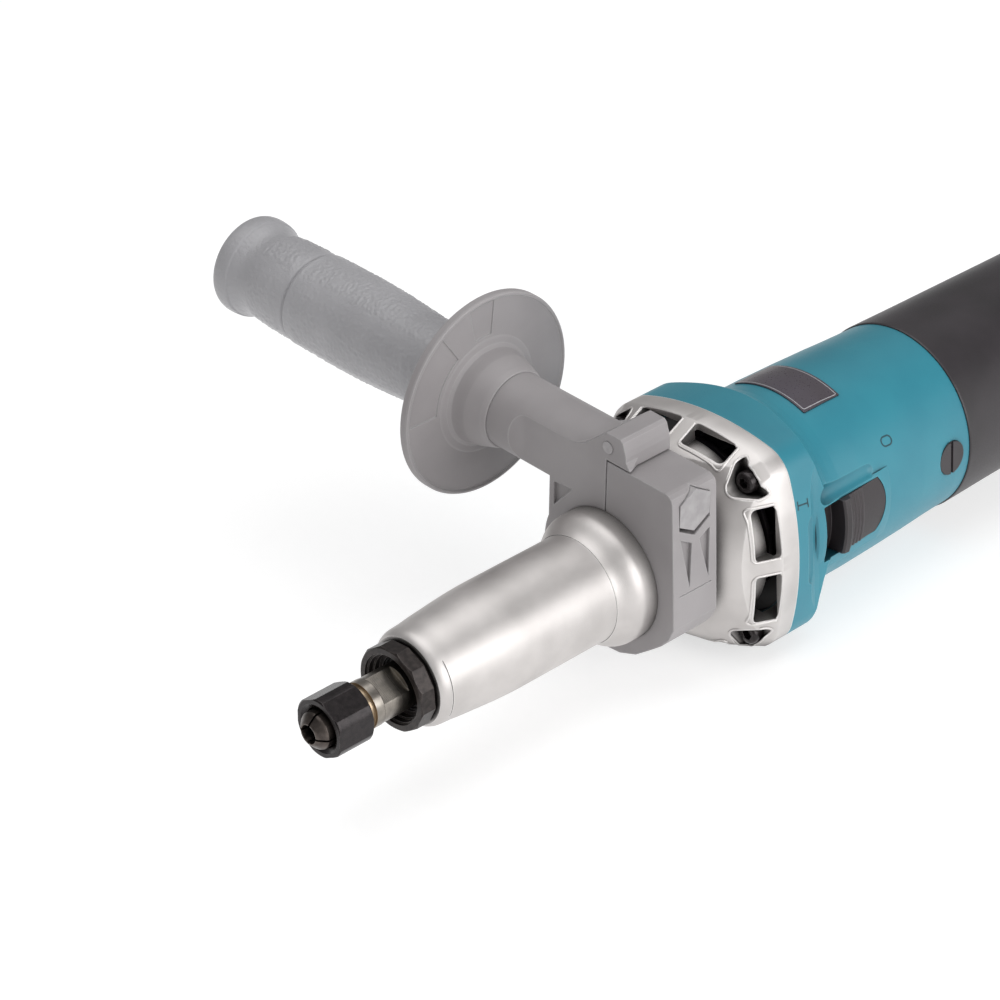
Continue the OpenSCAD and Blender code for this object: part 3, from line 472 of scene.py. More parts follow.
# %% Turn a profile round an axis
def turned(name, profile, steps, centre, along, across):
    """A closed lathe mesh: the profile's points are distance along the axis and radius, in mm."""
    work = bmesh.new()
    side = along.cross(across)
    rings = []
    for reach, radius in profile:
        spot = centre + along * reach * MM
        if radius == 0:
            rings.append([work.verts.new(spot)])
            continue
        ring = []
        for k in range(steps):
            t = 2 * math.pi * k / steps
            ring.append(work.verts.new(spot + (across * math.cos(t) + side * math.sin(t)) * radius * MM))
        rings.append(ring)
    for low, high in zip(rings, rings[1:]):
        for k in range(steps):
            n = (k + 1) % steps
            corners = [low[k % len(low)], low[n % len(low)], high[n % len(high)], high[k % len(high)]]
            # a ring of one point gives triangles
            work.faces.new(list(dict.fromkeys(corners)))
    bmesh.ops.recalc_face_normals(work, faces=work.faces)
    mesh = kept_mesh(name, work)
    for face in mesh.polygons:
        face.use_smooth = True
    return mesh


def rounded_box(x0, x1, s0, s1, corner, steps=6):
    """A closed path round a rectangle with round corners."""
    left, right, low, high = x0 + corner, x1 - corner, s0 + corner, s1 - corner
    path = []
    for cx, cs, first in ((right, high, 0), (left, high, 90), (left, low, 180), (right, low, 270)):
        for k in range(steps + 1):
            t = math.radians(first + 90 * k / steps)
            path.append((cx + corner * math.cos(t), cs + corner * math.sin(t)))
    return path


def smooth_profile(points, pace):
    """Catmull-Rom points through the given ones, no further apart than the pace in mm."""
    made = [points[0]]
    ends = [points[0]] + points + [points[-1]]
    for before, start_point, end_point, after in zip(ends, ends[1:], ends[2:], ends[3:]):
        parts = max(1, math.ceil(math.dist(start_point, end_point) / pace))
        for k in range(1, parts + 1):
            t = k / parts
            spot = []
            for b, s, e, a in zip(before, start_point, end_point, after):
                square, cube = 2 * b - 5 * s + 4 * e - a, 3 * s - b - 3 * e + a
                spot.append(0.5 * (2 * s + (e - b) * t + square * t * t + cube * t**3))
            made.append(tuple(spot))
    return made


print("profile helpers ready")

# %% The grip's profile, in mm along the handle and out from its axis
GRIP_WAIST = [(72.25, 15.0), (84, 15.3), (93, 15.6), (101.5, 16), (108, 16.45), (114.5, 16.9)]
GRIP_WAIST += [(121, 17.2), (127, 17.35), (136, 17.5), (146, 17.4), (153, 17.45), (154.7, 17.5)]
GRIP_WAIST += [(155.5, 17.0), (155.9, 16.35), (156.4, 16.3), (156.9, 16.8), (158.5, 17.0)]
GRIP_WAIST += [(162, 17.05), (169, 16.9), (175.5, 16.55), (178.5, 16.3)]
GRIP_POMMEL = [(178.5, 16.3), (181, 16.5), (183.4, 17.35), (184.6, 17.75), (185.1, 17.8)]
GRIP_POMMEL += [(185.5, 18.35), (188.4, 18.7), (191, 18.5), (192.4, 17.7)]
GRIP_POMMEL += [(192.8, 16.3), (192.8, 12.5), (191.6, 11.5)]
BOLT_SEAT = [(79.05, 0), (79.05, 7.55), (73.95, 7.55), (73.95, 4.05), (72.25, 4.05)]
grip_profile = BOLT_SEAT + smooth_profile(GRIP_WAIST, 0.45)
grip_profile += smooth_profile(GRIP_POMMEL, 0.6)[1:] + [(191.6, 0)]
grip_mesh = turned("grip_skin", grip_profile, 240, HANDLE_PLACE, ALONG, ACROSS)
print("grip rings:", len(grip_profile))


# %% The tree of the pebbles
def pebble_tree():
    sizes = {"Pebble Width": 1.2 * MM, "Pebble Height": 0.3 * MM}
    sizes |= {"Strip Turn": math.radians(130), "Strip Half": 0.12}
    tree, given = new_tree("pebbled_skin", sizes)
    here = add(tree, "GeometryNodeInputPosition")
    local = add(tree, VECTOR, {0: here, 1: HANDLE_PLACE}, operation="SUBTRACT")
    parts = []
    for way in (ALONG, ACROSS, (1, 0, 0)):
        part = add(tree, VECTOR, {0: local, 1: way}, operation="DOT_PRODUCT")
        parts.append(part.outputs["Value"])
    reach, up, aside = parts
    # the distance from the nearest of four strips, as an angle
    turn_now = add(tree, MATH, {0: up, 1: aside}, operation="ARCTAN2")
    turn_now = add(tree, MATH, {0: turn_now, 1: given["Strip Turn"]}, operation="SUBTRACT")
    from_strip = add(tree, MATH, {0: turn_now, 1: math.pi / 4}, operation="PINGPONG")
    strip_end = add(tree, MATH, {0: given["Strip Half"], 1: 0.07}, operation="ADD")
    density = add(tree, MATH, {0: 1.0, 1: given["Pebble Width"]}, operation="DIVIDE")
    cells = {"Vector": here, "Scale": density, "Smoothness": 0.35}
    pebbles = add(tree, "ShaderNodeTexVoronoi", cells, feature="SMOOTH_F1")
    # soft steps from 0 to 1: beside a strip, at both ends of both panels, and down a pebble's side
    stretches = [(from_strip, given["Strip Half"], strip_end)]
    for first, last in ((84, 153), (158.5, 177)):
        stretches.append((reach, first * MM, (first + 2.5) * MM))
        stretches.append((reach, (last - 2.5) * MM, last * MM))
    stretches.append((pebbles, 0.1, 0.75))
    steps = []
    for value, low, high in stretches:
        steps.append(add(tree, MAP_RANGE, span(value, low, high), interpolation_type="SMOOTHSTEP"))
    around, first_begins, first_ends, last_begins, last_ends, side = steps
    first_panel = add(tree, MATH, {0: first_begins, 1: first_ends}, operation="SUBTRACT")
    last_panel = add(tree, MATH, {0: last_begins, 1: last_ends}, operation="SUBTRACT")
    along_mask = add(tree, MATH, {0: first_panel, 1: last_panel}, operation="ADD")
    in_panel = add(tree, MATH, {0: around, 1: along_mask}, operation="MULTIPLY")
    dome = add(tree, MATH, {0: 1.0, 1: side}, operation="SUBTRACT")
    height = add(tree, MATH, {0: dome, 1: given["Pebble Height"]}, operation="MULTIPLY")
    height = add(tree, MATH, {0: height, 1: in_panel}, operation="MULTIPLY")
    normal = add(tree, "GeometryNodeInputNormal")
    lift = add(tree, VECTOR, {0: normal, "Scale": height}, operation="SCALE")
    lifted = {"Geometry": given["Geometry"], "Offset": lift}
    close_tree(tree, add(tree, "GeometryNodeSetPosition", lifted), GRIP_NYLON)
    return tree


grip_skin = grow("grip_skin", pebble_tree(), {"Pebble Height": 0.3 * MM}, grip_mesh)
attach(grip_skin, "grip")
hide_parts("grip_sleeve")

# %% [markdown]
# ## The cast gear housing
# Neck, dome and flange are one die casting. Round every corner screw sits a pocket, and between the
# pockets eight windows let the fan's air out: each starts on the dome with a raised, rounded rim and
# ends in a dark slot under the flange. The CAD solid has these windows in a plainer form, so a finer
# casting replaces it here. A lathe gives the body, and Boolean modifiers trim it to the bowed square
# and cut the bores, windows and pockets, in the order in which the real one is cast and machined.


# %% Closed meshes from loops, and one Boolean stack
def lofted(work, loops):
    """Adds a closed body through loops of points in mm, all with the same count, lids included."""
    rings = [[work.verts.new(Vector(point) * MM) for point in loop] for loop in loops]
    faces = [work.faces.new(rings[0]), work.faces.new(rings[-1])]
    for low, high in zip(rings, rings[1:]):
        for k in range(len(low)):
            n = (k + 1) % len(low)
            faces.append(work.faces.new((low[k], low[n], high[n], high[k])))
    bmesh.ops.recalc_face_normals(work, faces=faces)


def from_loops(name, bodies):
    work = bmesh.new()
    for loops in bodies:
        lofted(work, loops)
    return kept_mesh(name, work)


def trimmed(name, mesh, steps):
    """The mesh after a stack of exact Booleans; each step is the operation and the other mesh."""
    body = placed(name, mesh)
    tools = []
    for operation, other in steps:
        tool = placed("cutter", other)
        cut = body.modifiers.new("cut", "BOOLEAN")
        cut.operation, cut.solver, cut.object = operation, "EXACT", tool
        tools.append(tool)
    done = frozen(body)
    body.modifiers.clear()
    body.data = done
    for tool in tools:
        bpy.data.objects.remove(tool)
    done.name = name
    for face in done.polygons:
        face.use_smooth = True
    done.set_sharp_from_angle(angle=math.radians(32))
    print(name, "triangles:", triangles(done))
    return body


print("loop and Boolean helpers ready")

# %% The flange's bowed square, in mm
# radius of the bowed sides, radius of the corners, half the width, place of a corner's centre
CROWN, CORNER, HALF, CORNER_AT = 104.0, 12.5, 41.0, 25.0144
TANGENT = math.degrees(math.atan2(CORNER_AT - HALF + CROWN, CORNER_AT))
FLANGE_REAR = 179.9
# where the slopes of the front edge meet the sides, and their cosine and sine
SLOPE_X = 172
SLOPE_COS, SLOPE_SIN = math.cos(math.radians(26)), math.sin(math.radians(26))


def quarter(point, k):
    """A point of the +Z side, as (x, across, out), brought to side k."""
    x, across, out = point
    c, s = ((1, 0), (0, 1), (-1, 0), (0, -1))[k]
    return (x, across * c - out * s, across * s + out * c)


def bow(across):
    """How far a bowed side falls back, that far from its middle."""
    return math.sqrt(CROWN**2 - across**2) - CROWN


def bowed_square(x):
    loop = []
    for k in range(4):
        arcs = [(CORNER_AT, CORNER_AT, CORNER, 90 - TANGENT, TANGENT, 14)]
        arcs += [(0, HALF - CROWN, CROWN, TANGENT, 180 - TANGENT, 24)]
        for across, out, radius, first, last, steps in arcs:
            for i in range(steps):
                t = math.radians(first + (last - first) * i / steps)
                loop.append(quarter((x, across + radius * math.cos(t), out + radius * math.sin(t)), k))
    return loop


def front_slope(k):
    """The wedge that slopes the front edge of side k by 26 degrees."""
    arc = [(a, bow(a)) for a in range(-60, 61, 3)] + [(60, 20), (-60, 20)]
    loops = []
    for x in (-30, 0):
        loop = []
        for a, z in arc:
            reach = SLOPE_X + x * SLOPE_COS - z * SLOPE_SIN
            loop.append(quarter((reach, a, HALF + x * SLOPE_SIN + z * SLOPE_COS), k))
        loops.append(loop)
    return loops


print("flange:", 2 * HALF, "mm across, points round it:", len(bowed_square(FLANGE_REAR)))

# %% The casting's profile, as distance along the spindle and radius in mm
NECK = [(39.7, 15.44), (40.2, 16), (41, 16.5), (41.8, 16.85), (42.8, 17.08), (44.5, 17.22)]
NECK += [(47.4, 17.4), (52, 17.9), (57, 18.3), (62, 18.7), (66, 19), (72, 19.3), (78, 19.4)]
NECK += [(95, 19.4), (113.2, 19.4), (115, 19.6), (116.6, 20.2), (118, 21), (119.4, 22)]
NECK += [(120.8, 22.95), (122.2, 23.6), (123.6, 23.92), (124.4, 23.96)]
DOME = [(150.8, 23.96), (152, 25.19), (154, 28.01), (156, 30.9), (158, 33.6), (160.5, 36.7)]
DOME += [(163, 40.01), (166, 43.1), (169, 45.6), (171.5, 47.1), (173.5, 47.91), (FLANGE_REAR, 48.5)]
dome_fine = smooth_profile(DOME, 0.8)
outside = [(39.7, 0)] + smooth_profile(NECK, 1.0) + dome_fine + [(FLANGE_REAR, 0)]
BORES = [(38.7, 0), (38.7, 13), (43.9, 13), (43.9, 12.03), (50.1, 12.03), (50.1, 9.5)]
BORES += [(136.9, 9.5), (136.9, 12.03), (146.5, 12.03), (146.5, 19), (151.8, 19), (151.8, 22.05)]
BORES += [(165.5, 22.05), (165.5, 30.05), (171, 30.05), (171, 38.5), (181, 38.5), (181, 0)]
print("dome rings:", len(dome_fine))


def surface_x(across, out):
    """Where a line along the spindle meets the dome or a slope, near the +Z side."""
    radius = math.hypot(across, out)
    reach = dome_fine[-1][0]
    for (x0, r0), (x1, r1) in zip(dome_fine, dome_fine[1:]):
        if r0 <= radius <= r1:
            reach = x0 + (x1 - x0) * (radius - r0) / (r1 - r0)
    for a, z in ((across, out), (out, across), (across, -out), (out, -across)):
        reach = max(reach, SLOPE_X + ((z - HALF) * SLOPE_COS - bow(a)) / SLOPE_SIN)
    return reach


def surface_out(x, across):
    """How far out the casting's surface is at x, near the +Z side."""
    low, high = 20.0, HALF
    for _ in range(30):
        middle = (low + high) / 2
        low, high = (middle, high) if surface_x(across, middle) < x else (low, middle)
    return low


# %% Windows and screw pockets
# a window's front end, and its near and far side from the middle of the flange's side
WINDOW_FRONT, RIB, WINDOW_TO = 162.1, 2.7, 22.4
# the front and rear wall of the cutter at four heights
WINDOW_WALLS = ((47, WINDOW_FRONT, 171.7), (38, 162.9, 171.7), (37.9, 163.0, 178.5), (27, 164.6, 178.5))
WINDOW_FLOOR = [(149, 0), (149, 33.6), (162, 33.9), (171, 34.6), (182, 35.4), (182, 0)]


def window_cutter(k, side):
    """Open above the dome, with a sloped front wall, and under the flange a slot to the chamber."""
    loops = []
    for out, front, rear in WINDOW_WALLS:
        path = rounded_box(front, rear, RIB, WINDOW_TO - (47 - out) * 0.06, 2.0, 5)
        loops.append([quarter((x, side * across, out), k) for x, across in path])
    return loops


def wrapped(circles, steps):
    """The closed path that a band takes round circles, each given as two coordinates and a radius."""
    path = []
    for i in range(steps):
        t = 2 * math.pi * i / steps
        u, v = math.cos(t), math.sin(t)
        a, b, radius = max(circles, key=lambda item: item[0] * u + item[1] * v + item[2])
        path.append((a + radius * u, b + radius * v))
    return path


POCKET = wrapped([(29.3, 29.3, 4.1), (26.2, 35.0, 1.5), (35.0, 26.2, 1.5)], 72)
POCKET_FLOOR = 170.2
pocket_cutters = []
for k in range(4):
    pocket_cutters.append([[quarter((x, a, b), k) for a, b in POCKET] for x in (150, POCKET_FLOOR)])
window_mesh = from_loops("windows", [window_cutter(k, side) for k in range(4) for side in (1, -1)])
# the fine line on the neck is a shallow groove over 72 degrees
LINE_SECTION = ((43.6, 16.9), (43.6, 18), (43.85, 18), (43.85, 16.9))
line_cutter = []
for i in range(37):
    t = math.radians(140 + 72 * i / 36)
    line_cutter.append([(x, r * math.cos(t), r * math.sin(t)) for x, r in LINE_SECTION])


def round_spindle(name, profile, steps):
    return turned(name, profile, steps, Vector((0, 0, 0)), Vector((1, 0, 0)), Vector((0, 1, 0)))


# the windows end on a cone round the spindle
floor_cone = round_spindle("window_floor", WINDOW_FLOOR, 160)
window_body = trimmed("window_cutters", window_mesh, [("DIFFERENCE", floor_cone)])
window_mesh = window_body.data
bpy.data.objects.remove(window_body)
square = from_loops("bowed_square", [[bowed_square(38), bowed_square(FLANGE_REAR)]])
casting_cuts = [from_loops("slope", [front_slope(k)]) for k in range(4)]
casting_cuts += [round_spindle("bores", BORES, 96), window_mesh, from_loops("pockets", pocket_cutters)]
casting_cuts += [from_loops("neck_line", [line_cutter])]
casting_steps = [("INTERSECT", square)] + [("DIFFERENCE", cut) for cut in casting_cuts]
casting = trimmed("cast_gear_housing", round_spindle("casting", outside, 200), casting_steps)
casting.data.materials.clear()
casting.data.materials.append(CAST_ALUMINIUM)
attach(casting, "housing")
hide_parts("gear_housing")

# %% [markdown]
# ### Screws in their pockets
# The pockets of this casting are deeper than the CAD's, so that each keeps a wall all round, and they
# sit 2 mm nearer to the spindle, as in the photograph. The four screws follow them. Each has a round
# head with a hexagon socket, which a Boolean cuts.


# %% Screws
SCREW_AT = 29.1
SCREW = [(166.0, 3.0), (166.25, 3.45), (166.8, 3.8), (167.5, 3.9), (POCKET_FLOOR, 3.9)]
SCREW += [(POCKET_FLOOR, 2.5), (179.0, 2.5)]


def ring_at(k, x, radius, count):
    """A closed ring round the screw in corner k."""
    loop = []
    for i in range(count):
        t = 2 * math.pi * i / count
        loop.append(quarter((x, SCREW_AT + radius * math.cos(t), SCREW_AT + radius * math.sin(t)), k))
    return loop


screw_mesh = from_loops("pocket_screws", [[ring_at(k, x, r, 40) for x, r in SCREW] for k in range(4)])
socket_mesh = from_loops("sockets", [[ring_at(k, x, 2.1, 6) for x in (165.5, 168.6)] for k in range(4)])
screws = trimmed("pocket_screws", screw_mesh, [("DIFFERENCE", socket_mesh)])
screws.data.materials.clear()
screws.data.materials.append(BLACK_OXIDE)
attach(screws, "housing")
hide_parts("housing_screws")

# %% [markdown]
# ### Raised rims
# Die-cast openings have a rounded bead round them, which catches the light as a bright line. The bead
# follows a path on the dome, so a tree turns each path into a curve and sweeps a small circle along it.


# %% Rims
def rim_tree():
    tree, given = new_tree("raised_rims", {"Bead Radius": 0.5 * MM})
    path = add(tree, "GeometryNodeMeshToCurve", {"Mesh": given["Geometry"]})
    close_tree(tree, swept(tree, path, given["Bead Radius"], 10), CAST_ALUMINIUM)
    return tree


def rim_paths():
    """Open paths round the windows, over the dome and back, and closed ones round the pockets."""
    sunk, rear_end = 0.12, 171.3
    paths = []
    for k in range(4):
        loop = [quarter((surface_x(a, b) + sunk, a, b), k) for a, b in POCKET]
        paths.append(loop + loop[:1])
        for side in (1, -1):
            box_path = rounded_box(WINDOW_FRONT, 175, RIB, WINDOW_TO, 2.0, 6)
            part = [(x, a) for x, a in box_path if x < rear_end]
            part = [(rear_end, WINDOW_TO)] + part + [(rear_end, RIB)]
            fine = [part[0]]
            for (x0, a0), (x1, a1) in zip(part, part[1:]):
                count = max(1, round(math.dist((x0, a0), (x1, a1)) / 0.8))
                for i in range(1, count + 1):
                    fine.append((x0 + (x1 - x0) * i / count, a0 + (a1 - a0) * i / count))
            paths.append([quarter((x, side * a, surface_out(x, a) - sunk), k) for x, a in fine])
    return paths


work = bmesh.new()
for path in rim_paths():
    spots = [work.verts.new(Vector(point) * MM) for point in path]
    for one, other in zip(spots, spots[1:]):
        work.edges.new((one, other))
bmesh.ops.remove_doubles(work, verts=work.verts, dist=1e-6)
rims = grow("cast_rims", rim_tree(), {"Bead Radius": 0.5 * MM}, kept_mesh("rim_lines", work))
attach(rims, "housing")

# %% [markdown]
# ## Brush springs
# A helical spring presses each carbon brush on the commutator. It is a wire of 0.84 mm wound at a
# pitch of 0.85 mm. A spiral curve with a round profile is the shortest recipe for it. The tree winds
# one and places it on both sides.


# %% Springs
BRUSH_X = 265


def spring_tree():
    sizes = {"Turns": 6.0, "Coil Radius": 1.9 * MM, "Wire Radius": 0.42 * MM}
    sizes |= {"Length": 5.1 * MM, "Seat": 23.45 * MM}
    tree, given = new_tree("brush_spring", sizes)
    coil_inputs = {"Resolution": 20, "Rotations": given["Turns"], "Start Radius": given["Coil Radius"]}
    coil_inputs |= {"End Radius": given["Coil Radius"], "Height": given["Length"]}
    coil = add(tree, "GeometryNodeCurveSpiral", coil_inputs)
    spring = swept(tree, coil, given["Wire Radius"], 10)
    both = add(tree, "GeometryNodeJoinGeometry")
    for side in (1, -1):
        beside = add(tree, MATH, {0: given["Seat"], 1: float(side)}, operation="MULTIPLY")
        seat = add(tree, "ShaderNodeCombineXYZ", {"X": BRUSH_X * MM, "Y": beside})
        turn_over = (-side * math.pi / 2, 0, 0)
        move = {"Geometry": spring, "Translation": seat, "Rotation": turn_over}
        fill(both, {0: add(tree, "GeometryNodeTransform", move)})
    close_tree(tree, both, BRASS)
    return tree


springs = grow("wound_brush_springs", spring_tree(), {"Turns": 6.0})
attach(springs, "housing")
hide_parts("brush_springs")

# %% [markdown]
# ## Wire on the armature
# Each coil leaves a slot, passes over the end of the core and goes back in five slots further on. The
# CAD solid is the varnished bulk. The tree lays strands over it: straight lines first, bent by a
# rule to the end turn, then repeated for the twelve slots.


# %% End turns
def end_turn_tree():
    sizes = {"Slots": 12, "Strands": 4, "Seat": 206.5 * MM, "Reach": -7.3 * MM, "Radius": 15.7 * MM}
    sizes |= {"Dip": 4.6 * MM, "Step": 0.85 * MM, "Wire Radius": 0.4 * MM}
    tree, given = new_tree("end_turns", sizes)
    # straight strands side by side: X runs from 0 to 1 along a strand, Y is the strand's number
    line = add(tree, "GeometryNodeCurvePrimitiveLine", {"Start": (0, 0, 0), "End": (1, 0, 0)})
    line = add(tree, "GeometryNodeResampleCurve", {"Curve": line, "Count": 26})
    places = {"Count": given["Strands"], "Offset": (0, 1, 0)}
    strands = add(tree, "GeometryNodeMeshLine", places)
    strands = add(tree, "GeometryNodeInstanceOnPoints", {"Points": strands, "Instance": line})
    strands = add(tree, "GeometryNodeRealizeInstances", {0: strands})
    here = add(tree, "GeometryNodeInputPosition")
    here = add(tree, "ShaderNodeSeparateXYZ", {0: here}).outputs
    # how far into the end turn: 0 at both slots and 1 in the middle
    swing = add(tree, MATH, {0: here[0], 1: math.pi}, operation="MULTIPLY")
    swing = add(tree, MATH, {0: swing}, operation="SINE")
    swing = add(tree, MATH, {0: swing, 1: 0.0}, operation="MAXIMUM")
    # the strand's distance from the axis falls with it, more for the inner strands
    dip = add(tree, MATH, {0: swing, 1: swing}, operation="MULTIPLY")
    dip = add(tree, MATH, {0: dip, 1: given["Dip"]}, operation="MULTIPLY")
    inner = add(tree, MATH, {0: here[1], 1: given["Step"]}, operation="MULTIPLY")
    inner = add(tree, MATH, {0: inner, 1: swing}, operation="MULTIPLY")
    radius = add(tree, MATH, {0: given["Radius"], 1: dip}, operation="SUBTRACT")
    radius = add(tree, MATH, {0: radius, 1: inner}, operation="SUBTRACT")
    # from there the place along the armature and round it
    far = add(tree, MATH, {0: swing, 1: 0.55}, operation="POWER")
    far = add(tree, MATH, {0: far, 1: given["Reach"]}, operation="MULTIPLY")
    along = add(tree, MATH, {0: given["Seat"], 1: far}, operation="ADD")
    angle = add(tree, MATH, {0: here[0], 1: math.radians(150)}, operation="MULTIPLY")
    aside = add(tree, MATH, {0: angle}, operation="COSINE")
    aside = add(tree, MATH, {0: radius, 1: aside}, operation="MULTIPLY")
    up = add(tree, MATH, {0: angle}, operation="SINE")
    up = add(tree, MATH, {0: radius, 1: up}, operation="MULTIPLY")
    place = add(tree, "ShaderNodeCombineXYZ", {"X": along, "Y": aside, "Z": up})
    bent = add(tree, "GeometryNodeSetPosition", {"Geometry": strands, "Position": place})
    coil = swept(tree, bent, given["Wire Radius"], 6)
    # one coil for each slot, turned round the axis
    slots_line = {"Count": given["Slots"], "Offset": (0, 0, 0)}
    slots_line = add(tree, "GeometryNodeMeshLine", slots_line)
    index = add(tree, "GeometryNodeInputIndex")
    turn_slot = add(tree, MATH, {0: index, 1: 2 * math.pi}, operation="MULTIPLY")
    turn_slot = add(tree, MATH, {0: turn_slot, 1: given["Slots"]}, operation="DIVIDE")
    turn_slot = add(tree, "ShaderNodeCombineXYZ", {"X": turn_slot})
    repeated = {"Points": slots_line, "Instance": coil, "Rotation": turn_slot}
    close_tree(tree, add(tree, "GeometryNodeInstanceOnPoints", repeated), COPPER)
    return tree


END_TURNS = end_turn_tree()
for name, seat, reach in (("front_end_turns", 206.5, -7.3), ("rear_end_turns", 247.5, 7.3)):
    piece = grow(name, END_TURNS, {"Seat": seat * MM, "Reach": reach * MM})
    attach(piece, "armature")

# %% [markdown]
# ## Printed marks and the label's edge
# The label on the motor housing is a bare film with a fine light line inside its edge. The side shows
# an open ring for off and a bar for on, printed dark on the teal plastic. Both are flat strokes that
# follow the curved surface, so one helper lays a thin closed ribbon along a path.


# %% A ribbon on a surface
def ribbon(work, path, width, surface, closed=False):
    """A thin closed strip along a path of surface coordinates in mm, 0.04 mm proud of it."""
    count = len(path)
    rows = []
    for k, point in enumerate(path):
        back = path[k - 1] if closed or k > 0 else point
        ahead = path[(k + 1) % count] if closed or k < count - 1 else point
        run = Vector((ahead[0] - back[0], ahead[1] - back[1])).normalized()
        side = Vector((-run.y, run.x)) * width / 2
        row = []
        for s, lift in ((1, -0.02), (-1, -0.02), (-1, 0.04), (1, 0.04)):
            row.append(work.verts.new(surface(point[0] + side.x * s, point[1] + side.y * s, lift)))
        rows.append(row)
    pairs = list(zip(rows, rows[1:])) + ([(rows[-1], rows[0])] if closed else [])
    for low, high in pairs:
        for k in range(4):
            work.faces.new((low[k], low[(k + 1) % 4], high[(k + 1) % 4], high[k]))
    if not closed:
        work.faces.new(rows[0])
        work.faces.new(rows[-1])


def finish_strokes(name, work, finish):
    bmesh.ops.recalc_face_normals(work, faces=work.faces)
    mesh = kept_mesh(name, work)
    mesh.materials.append(finish)
    made = placed(name, mesh)
    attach(made, "housing")
    print(name, "faces:", len(mesh.polygons))
    return made


def round_surface(radius_at):
    """Points from X and the arc length round the spindle's axis, both in mm."""

    def place(x, arc, lift):
        turn_now = arc / radius_at(x)
        radius = radius_at(x) + lift
        return Vector((x, radius * math.cos(turn_now), radius * math.sin(turn_now))) * MM

    return place


print("ribbon helpers ready")

# %% The label's edge line
def label_radius(x):
    """The film's radius: nearly level in front of x = 219 mm, then falling with the housing."""
    return 37.3 - 0.0067 * (x - 210.1) if x < 219 else 37.24 - 0.0247 * (x - 219)


# the film reaches from 65 to 116 degrees round the spindle
label_arc = [math.radians(a) * 37.2 for a in (65, 116)]
edge_line = []
frame_path = rounded_box(211.0, 227.0, label_arc[0] + 0.9, label_arc[1] - 0.9, 0.6)
for first, second in zip(frame_path, frame_path[1:] + frame_path[:1]):
    parts = max(1, round(math.dist(first, second)))
    edge_line += [tuple(a + (b - a) * k / parts for a, b in zip(first, second)) for k in range(parts)]
work = bmesh.new()
ribbon(work, edge_line, 0.35, round_surface(label_radius), closed=True)
label_line = finish_strokes("label_edge_line", work, LABEL_LINE)


# %% The marks for off and on
def body_radius(x):
    """The housing tapers to the rear by 0.025 mm for each mm."""
    return 36.9 - 0.025 * (x - 219)


def flange_side(x, z, lift):
    """The bowed side that faces the switch."""
    return Vector((x, -HALF - bow(z) - lift, z)) * MM


work = bmesh.new()
# the ring for off sits 150.5 degrees round the spindle
off_arc = math.radians(150.5) * 36.5
off_ring = rounded_box(232.2, 237, off_arc - 1.7, off_arc + 1.7, 1.6, 8)
ribbon(work, off_ring, 0.5, round_surface(body_radius), closed=True)
ribbon(work, [(181.5, 17.9), (185.9, 17.3)], 0.5, flange_side)
ribbon(work, [(181.3, 19.5), (181.2, 16.4)], 0.5, flange_side)
ribbon(work, [(185.9, 18.9), (186.0, 15.7)], 0.5, flange_side)
marks = finish_strokes("off_and_on_marks", work, MARK_INK)

# %% [markdown]
# ## Numbers on the speed dial
# The dial at the rear has the steps 1 to 5 on its rim, raised in white. Each is a text object that is
# made a mesh first and then bent round the rim point by point.


# %% Dial numbers
# the dial's place and radius, and the radius at half of a number's thickness
DIAL_X, DIAL_Z, DIAL_RADIUS, NUMBER_RADIUS = 372, 24, 12, 11.98


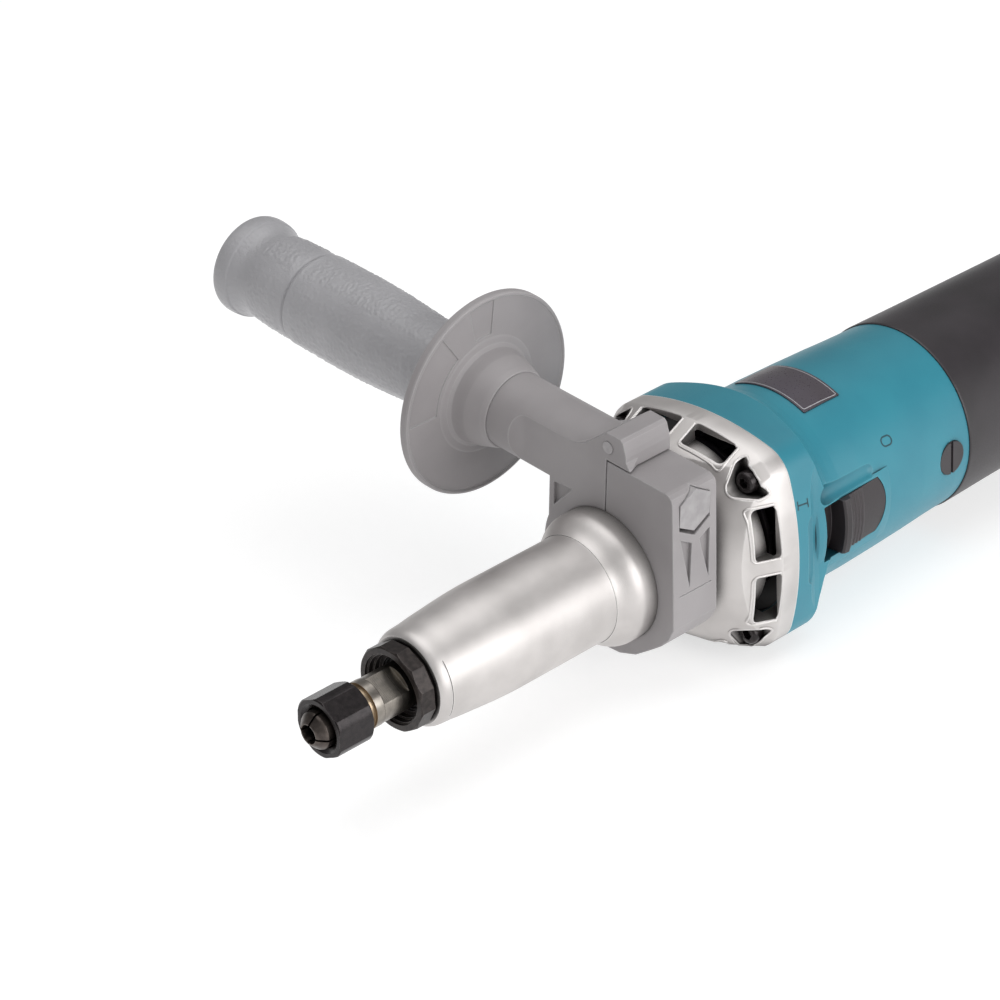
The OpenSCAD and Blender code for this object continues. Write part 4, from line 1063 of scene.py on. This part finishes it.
def dial_numbers():
    work = bmesh.new()
    for step_number in range(1, 6):
        curve = bpy.data.curves.new("number", "FONT")
        curve.body = str(step_number)
        curve.size = 3.6
        curve.align_x = "CENTER"
        curve.align_y = "CENTER"
        curve.extrude = 0.12
        holder = placed("number", curve)
        part = bmesh.new()
        part.from_mesh(frozen(holder))
        bmesh.ops.remove_doubles(part, verts=part.verts, dist=1e-4)
        for vert in part.verts:
            # the text's x runs round the rim and its y across it
            turn_now = math.radians(90 + 36 * (step_number - 3)) + vert.co.x / DIAL_RADIUS
            radius = NUMBER_RADIUS + vert.co.z
            along, up = radius * math.cos(turn_now), radius * math.sin(turn_now)
            vert.co = Vector((DIAL_X + along, vert.co.y, DIAL_Z + up)) * MM
        bmesh.ops.recalc_face_normals(part, faces=part.faces)
        work.from_mesh(kept_mesh("number", part))
        bpy.data.objects.remove(holder)
    mesh = kept_mesh("dial_numbers", work)
    mesh.materials.append(NUMBER_WHITE)
    made = placed("dial_numbers", mesh)
    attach(made, "dial")
    print("dial numbers: 5, faces:", len(mesh.polygons))


dial_numbers()

# %% [markdown]
# ## Floor and light
# The photograph is a studio picture on white. A broad light stands on the right side of the tool and
# another hangs above it, with a faint fill from the front. The paper glows a little by itself, like a
# light table, so that only soft shadows are left on it.


# %% Floor and lights
def floor(height):
    mesh = bpy.data.meshes.new("floor")
    half = 4.0
    corners = [(half * a, half * b, height) for a, b in ((-1, -1), (1, -1), (1, 1), (-1, 1))]
    mesh.from_pydata(corners, [], [(0, 1, 2, 3)])
    made = placed("floor", mesh)
    paint, tree, place, shader = start("pale_studio_paper")
    fibre = add(tree, NOISE, lumps(place, 3, 3.0))
    tone = add(tree, RAMP, {"Fac": fibre}, stops=tones("#b4b4b4", "#b7b7b7"))
    fill(shader, {"Base Color": tone, "Roughness": 0.9})
    fill(shader, {"Emission Color": (1, 1, 1, 1), "Emission Strength": 0.66})
    mesh.materials.append(paint)
    made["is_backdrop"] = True


def softbox(name, place, aim, size, power):
    data = bpy.data.lights.new(name, "AREA")
    data.shape = "RECTANGLE"
    data.size, data.size_y = size
    data.energy = power
    made = placed(name, data)
    made.location = place
    made.rotation_euler = (Vector(aim) - Vector(place)).to_track_quat("-Z", "Y").to_euler()


floor(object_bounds()[0].z)
CENTRE = (0.15, 0.0, 0.0)
softbox("side_key", (0.35, -1.3, 0.4), CENTRE, (1.5, 0.8), 13.5)
softbox("top_light", (0.2, 0.1, 1.5), CENTRE, (1.6, 1.6), 14.5)
softbox("front_fill", (-1.1, -0.7, 0.9), CENTRE, (1.0, 0.8), 0.8)
world = bpy.data.worlds.new("studio")
scene.world = world
world.use_nodes = True
world.node_tree.nodes["Background"].inputs["Color"].default_value = (1, 1, 1, 1)
world.node_tree.nodes["Background"].inputs["Strength"].default_value = 0.32
scene.view_settings.view_transform = "Standard"
print("lights:", 3)
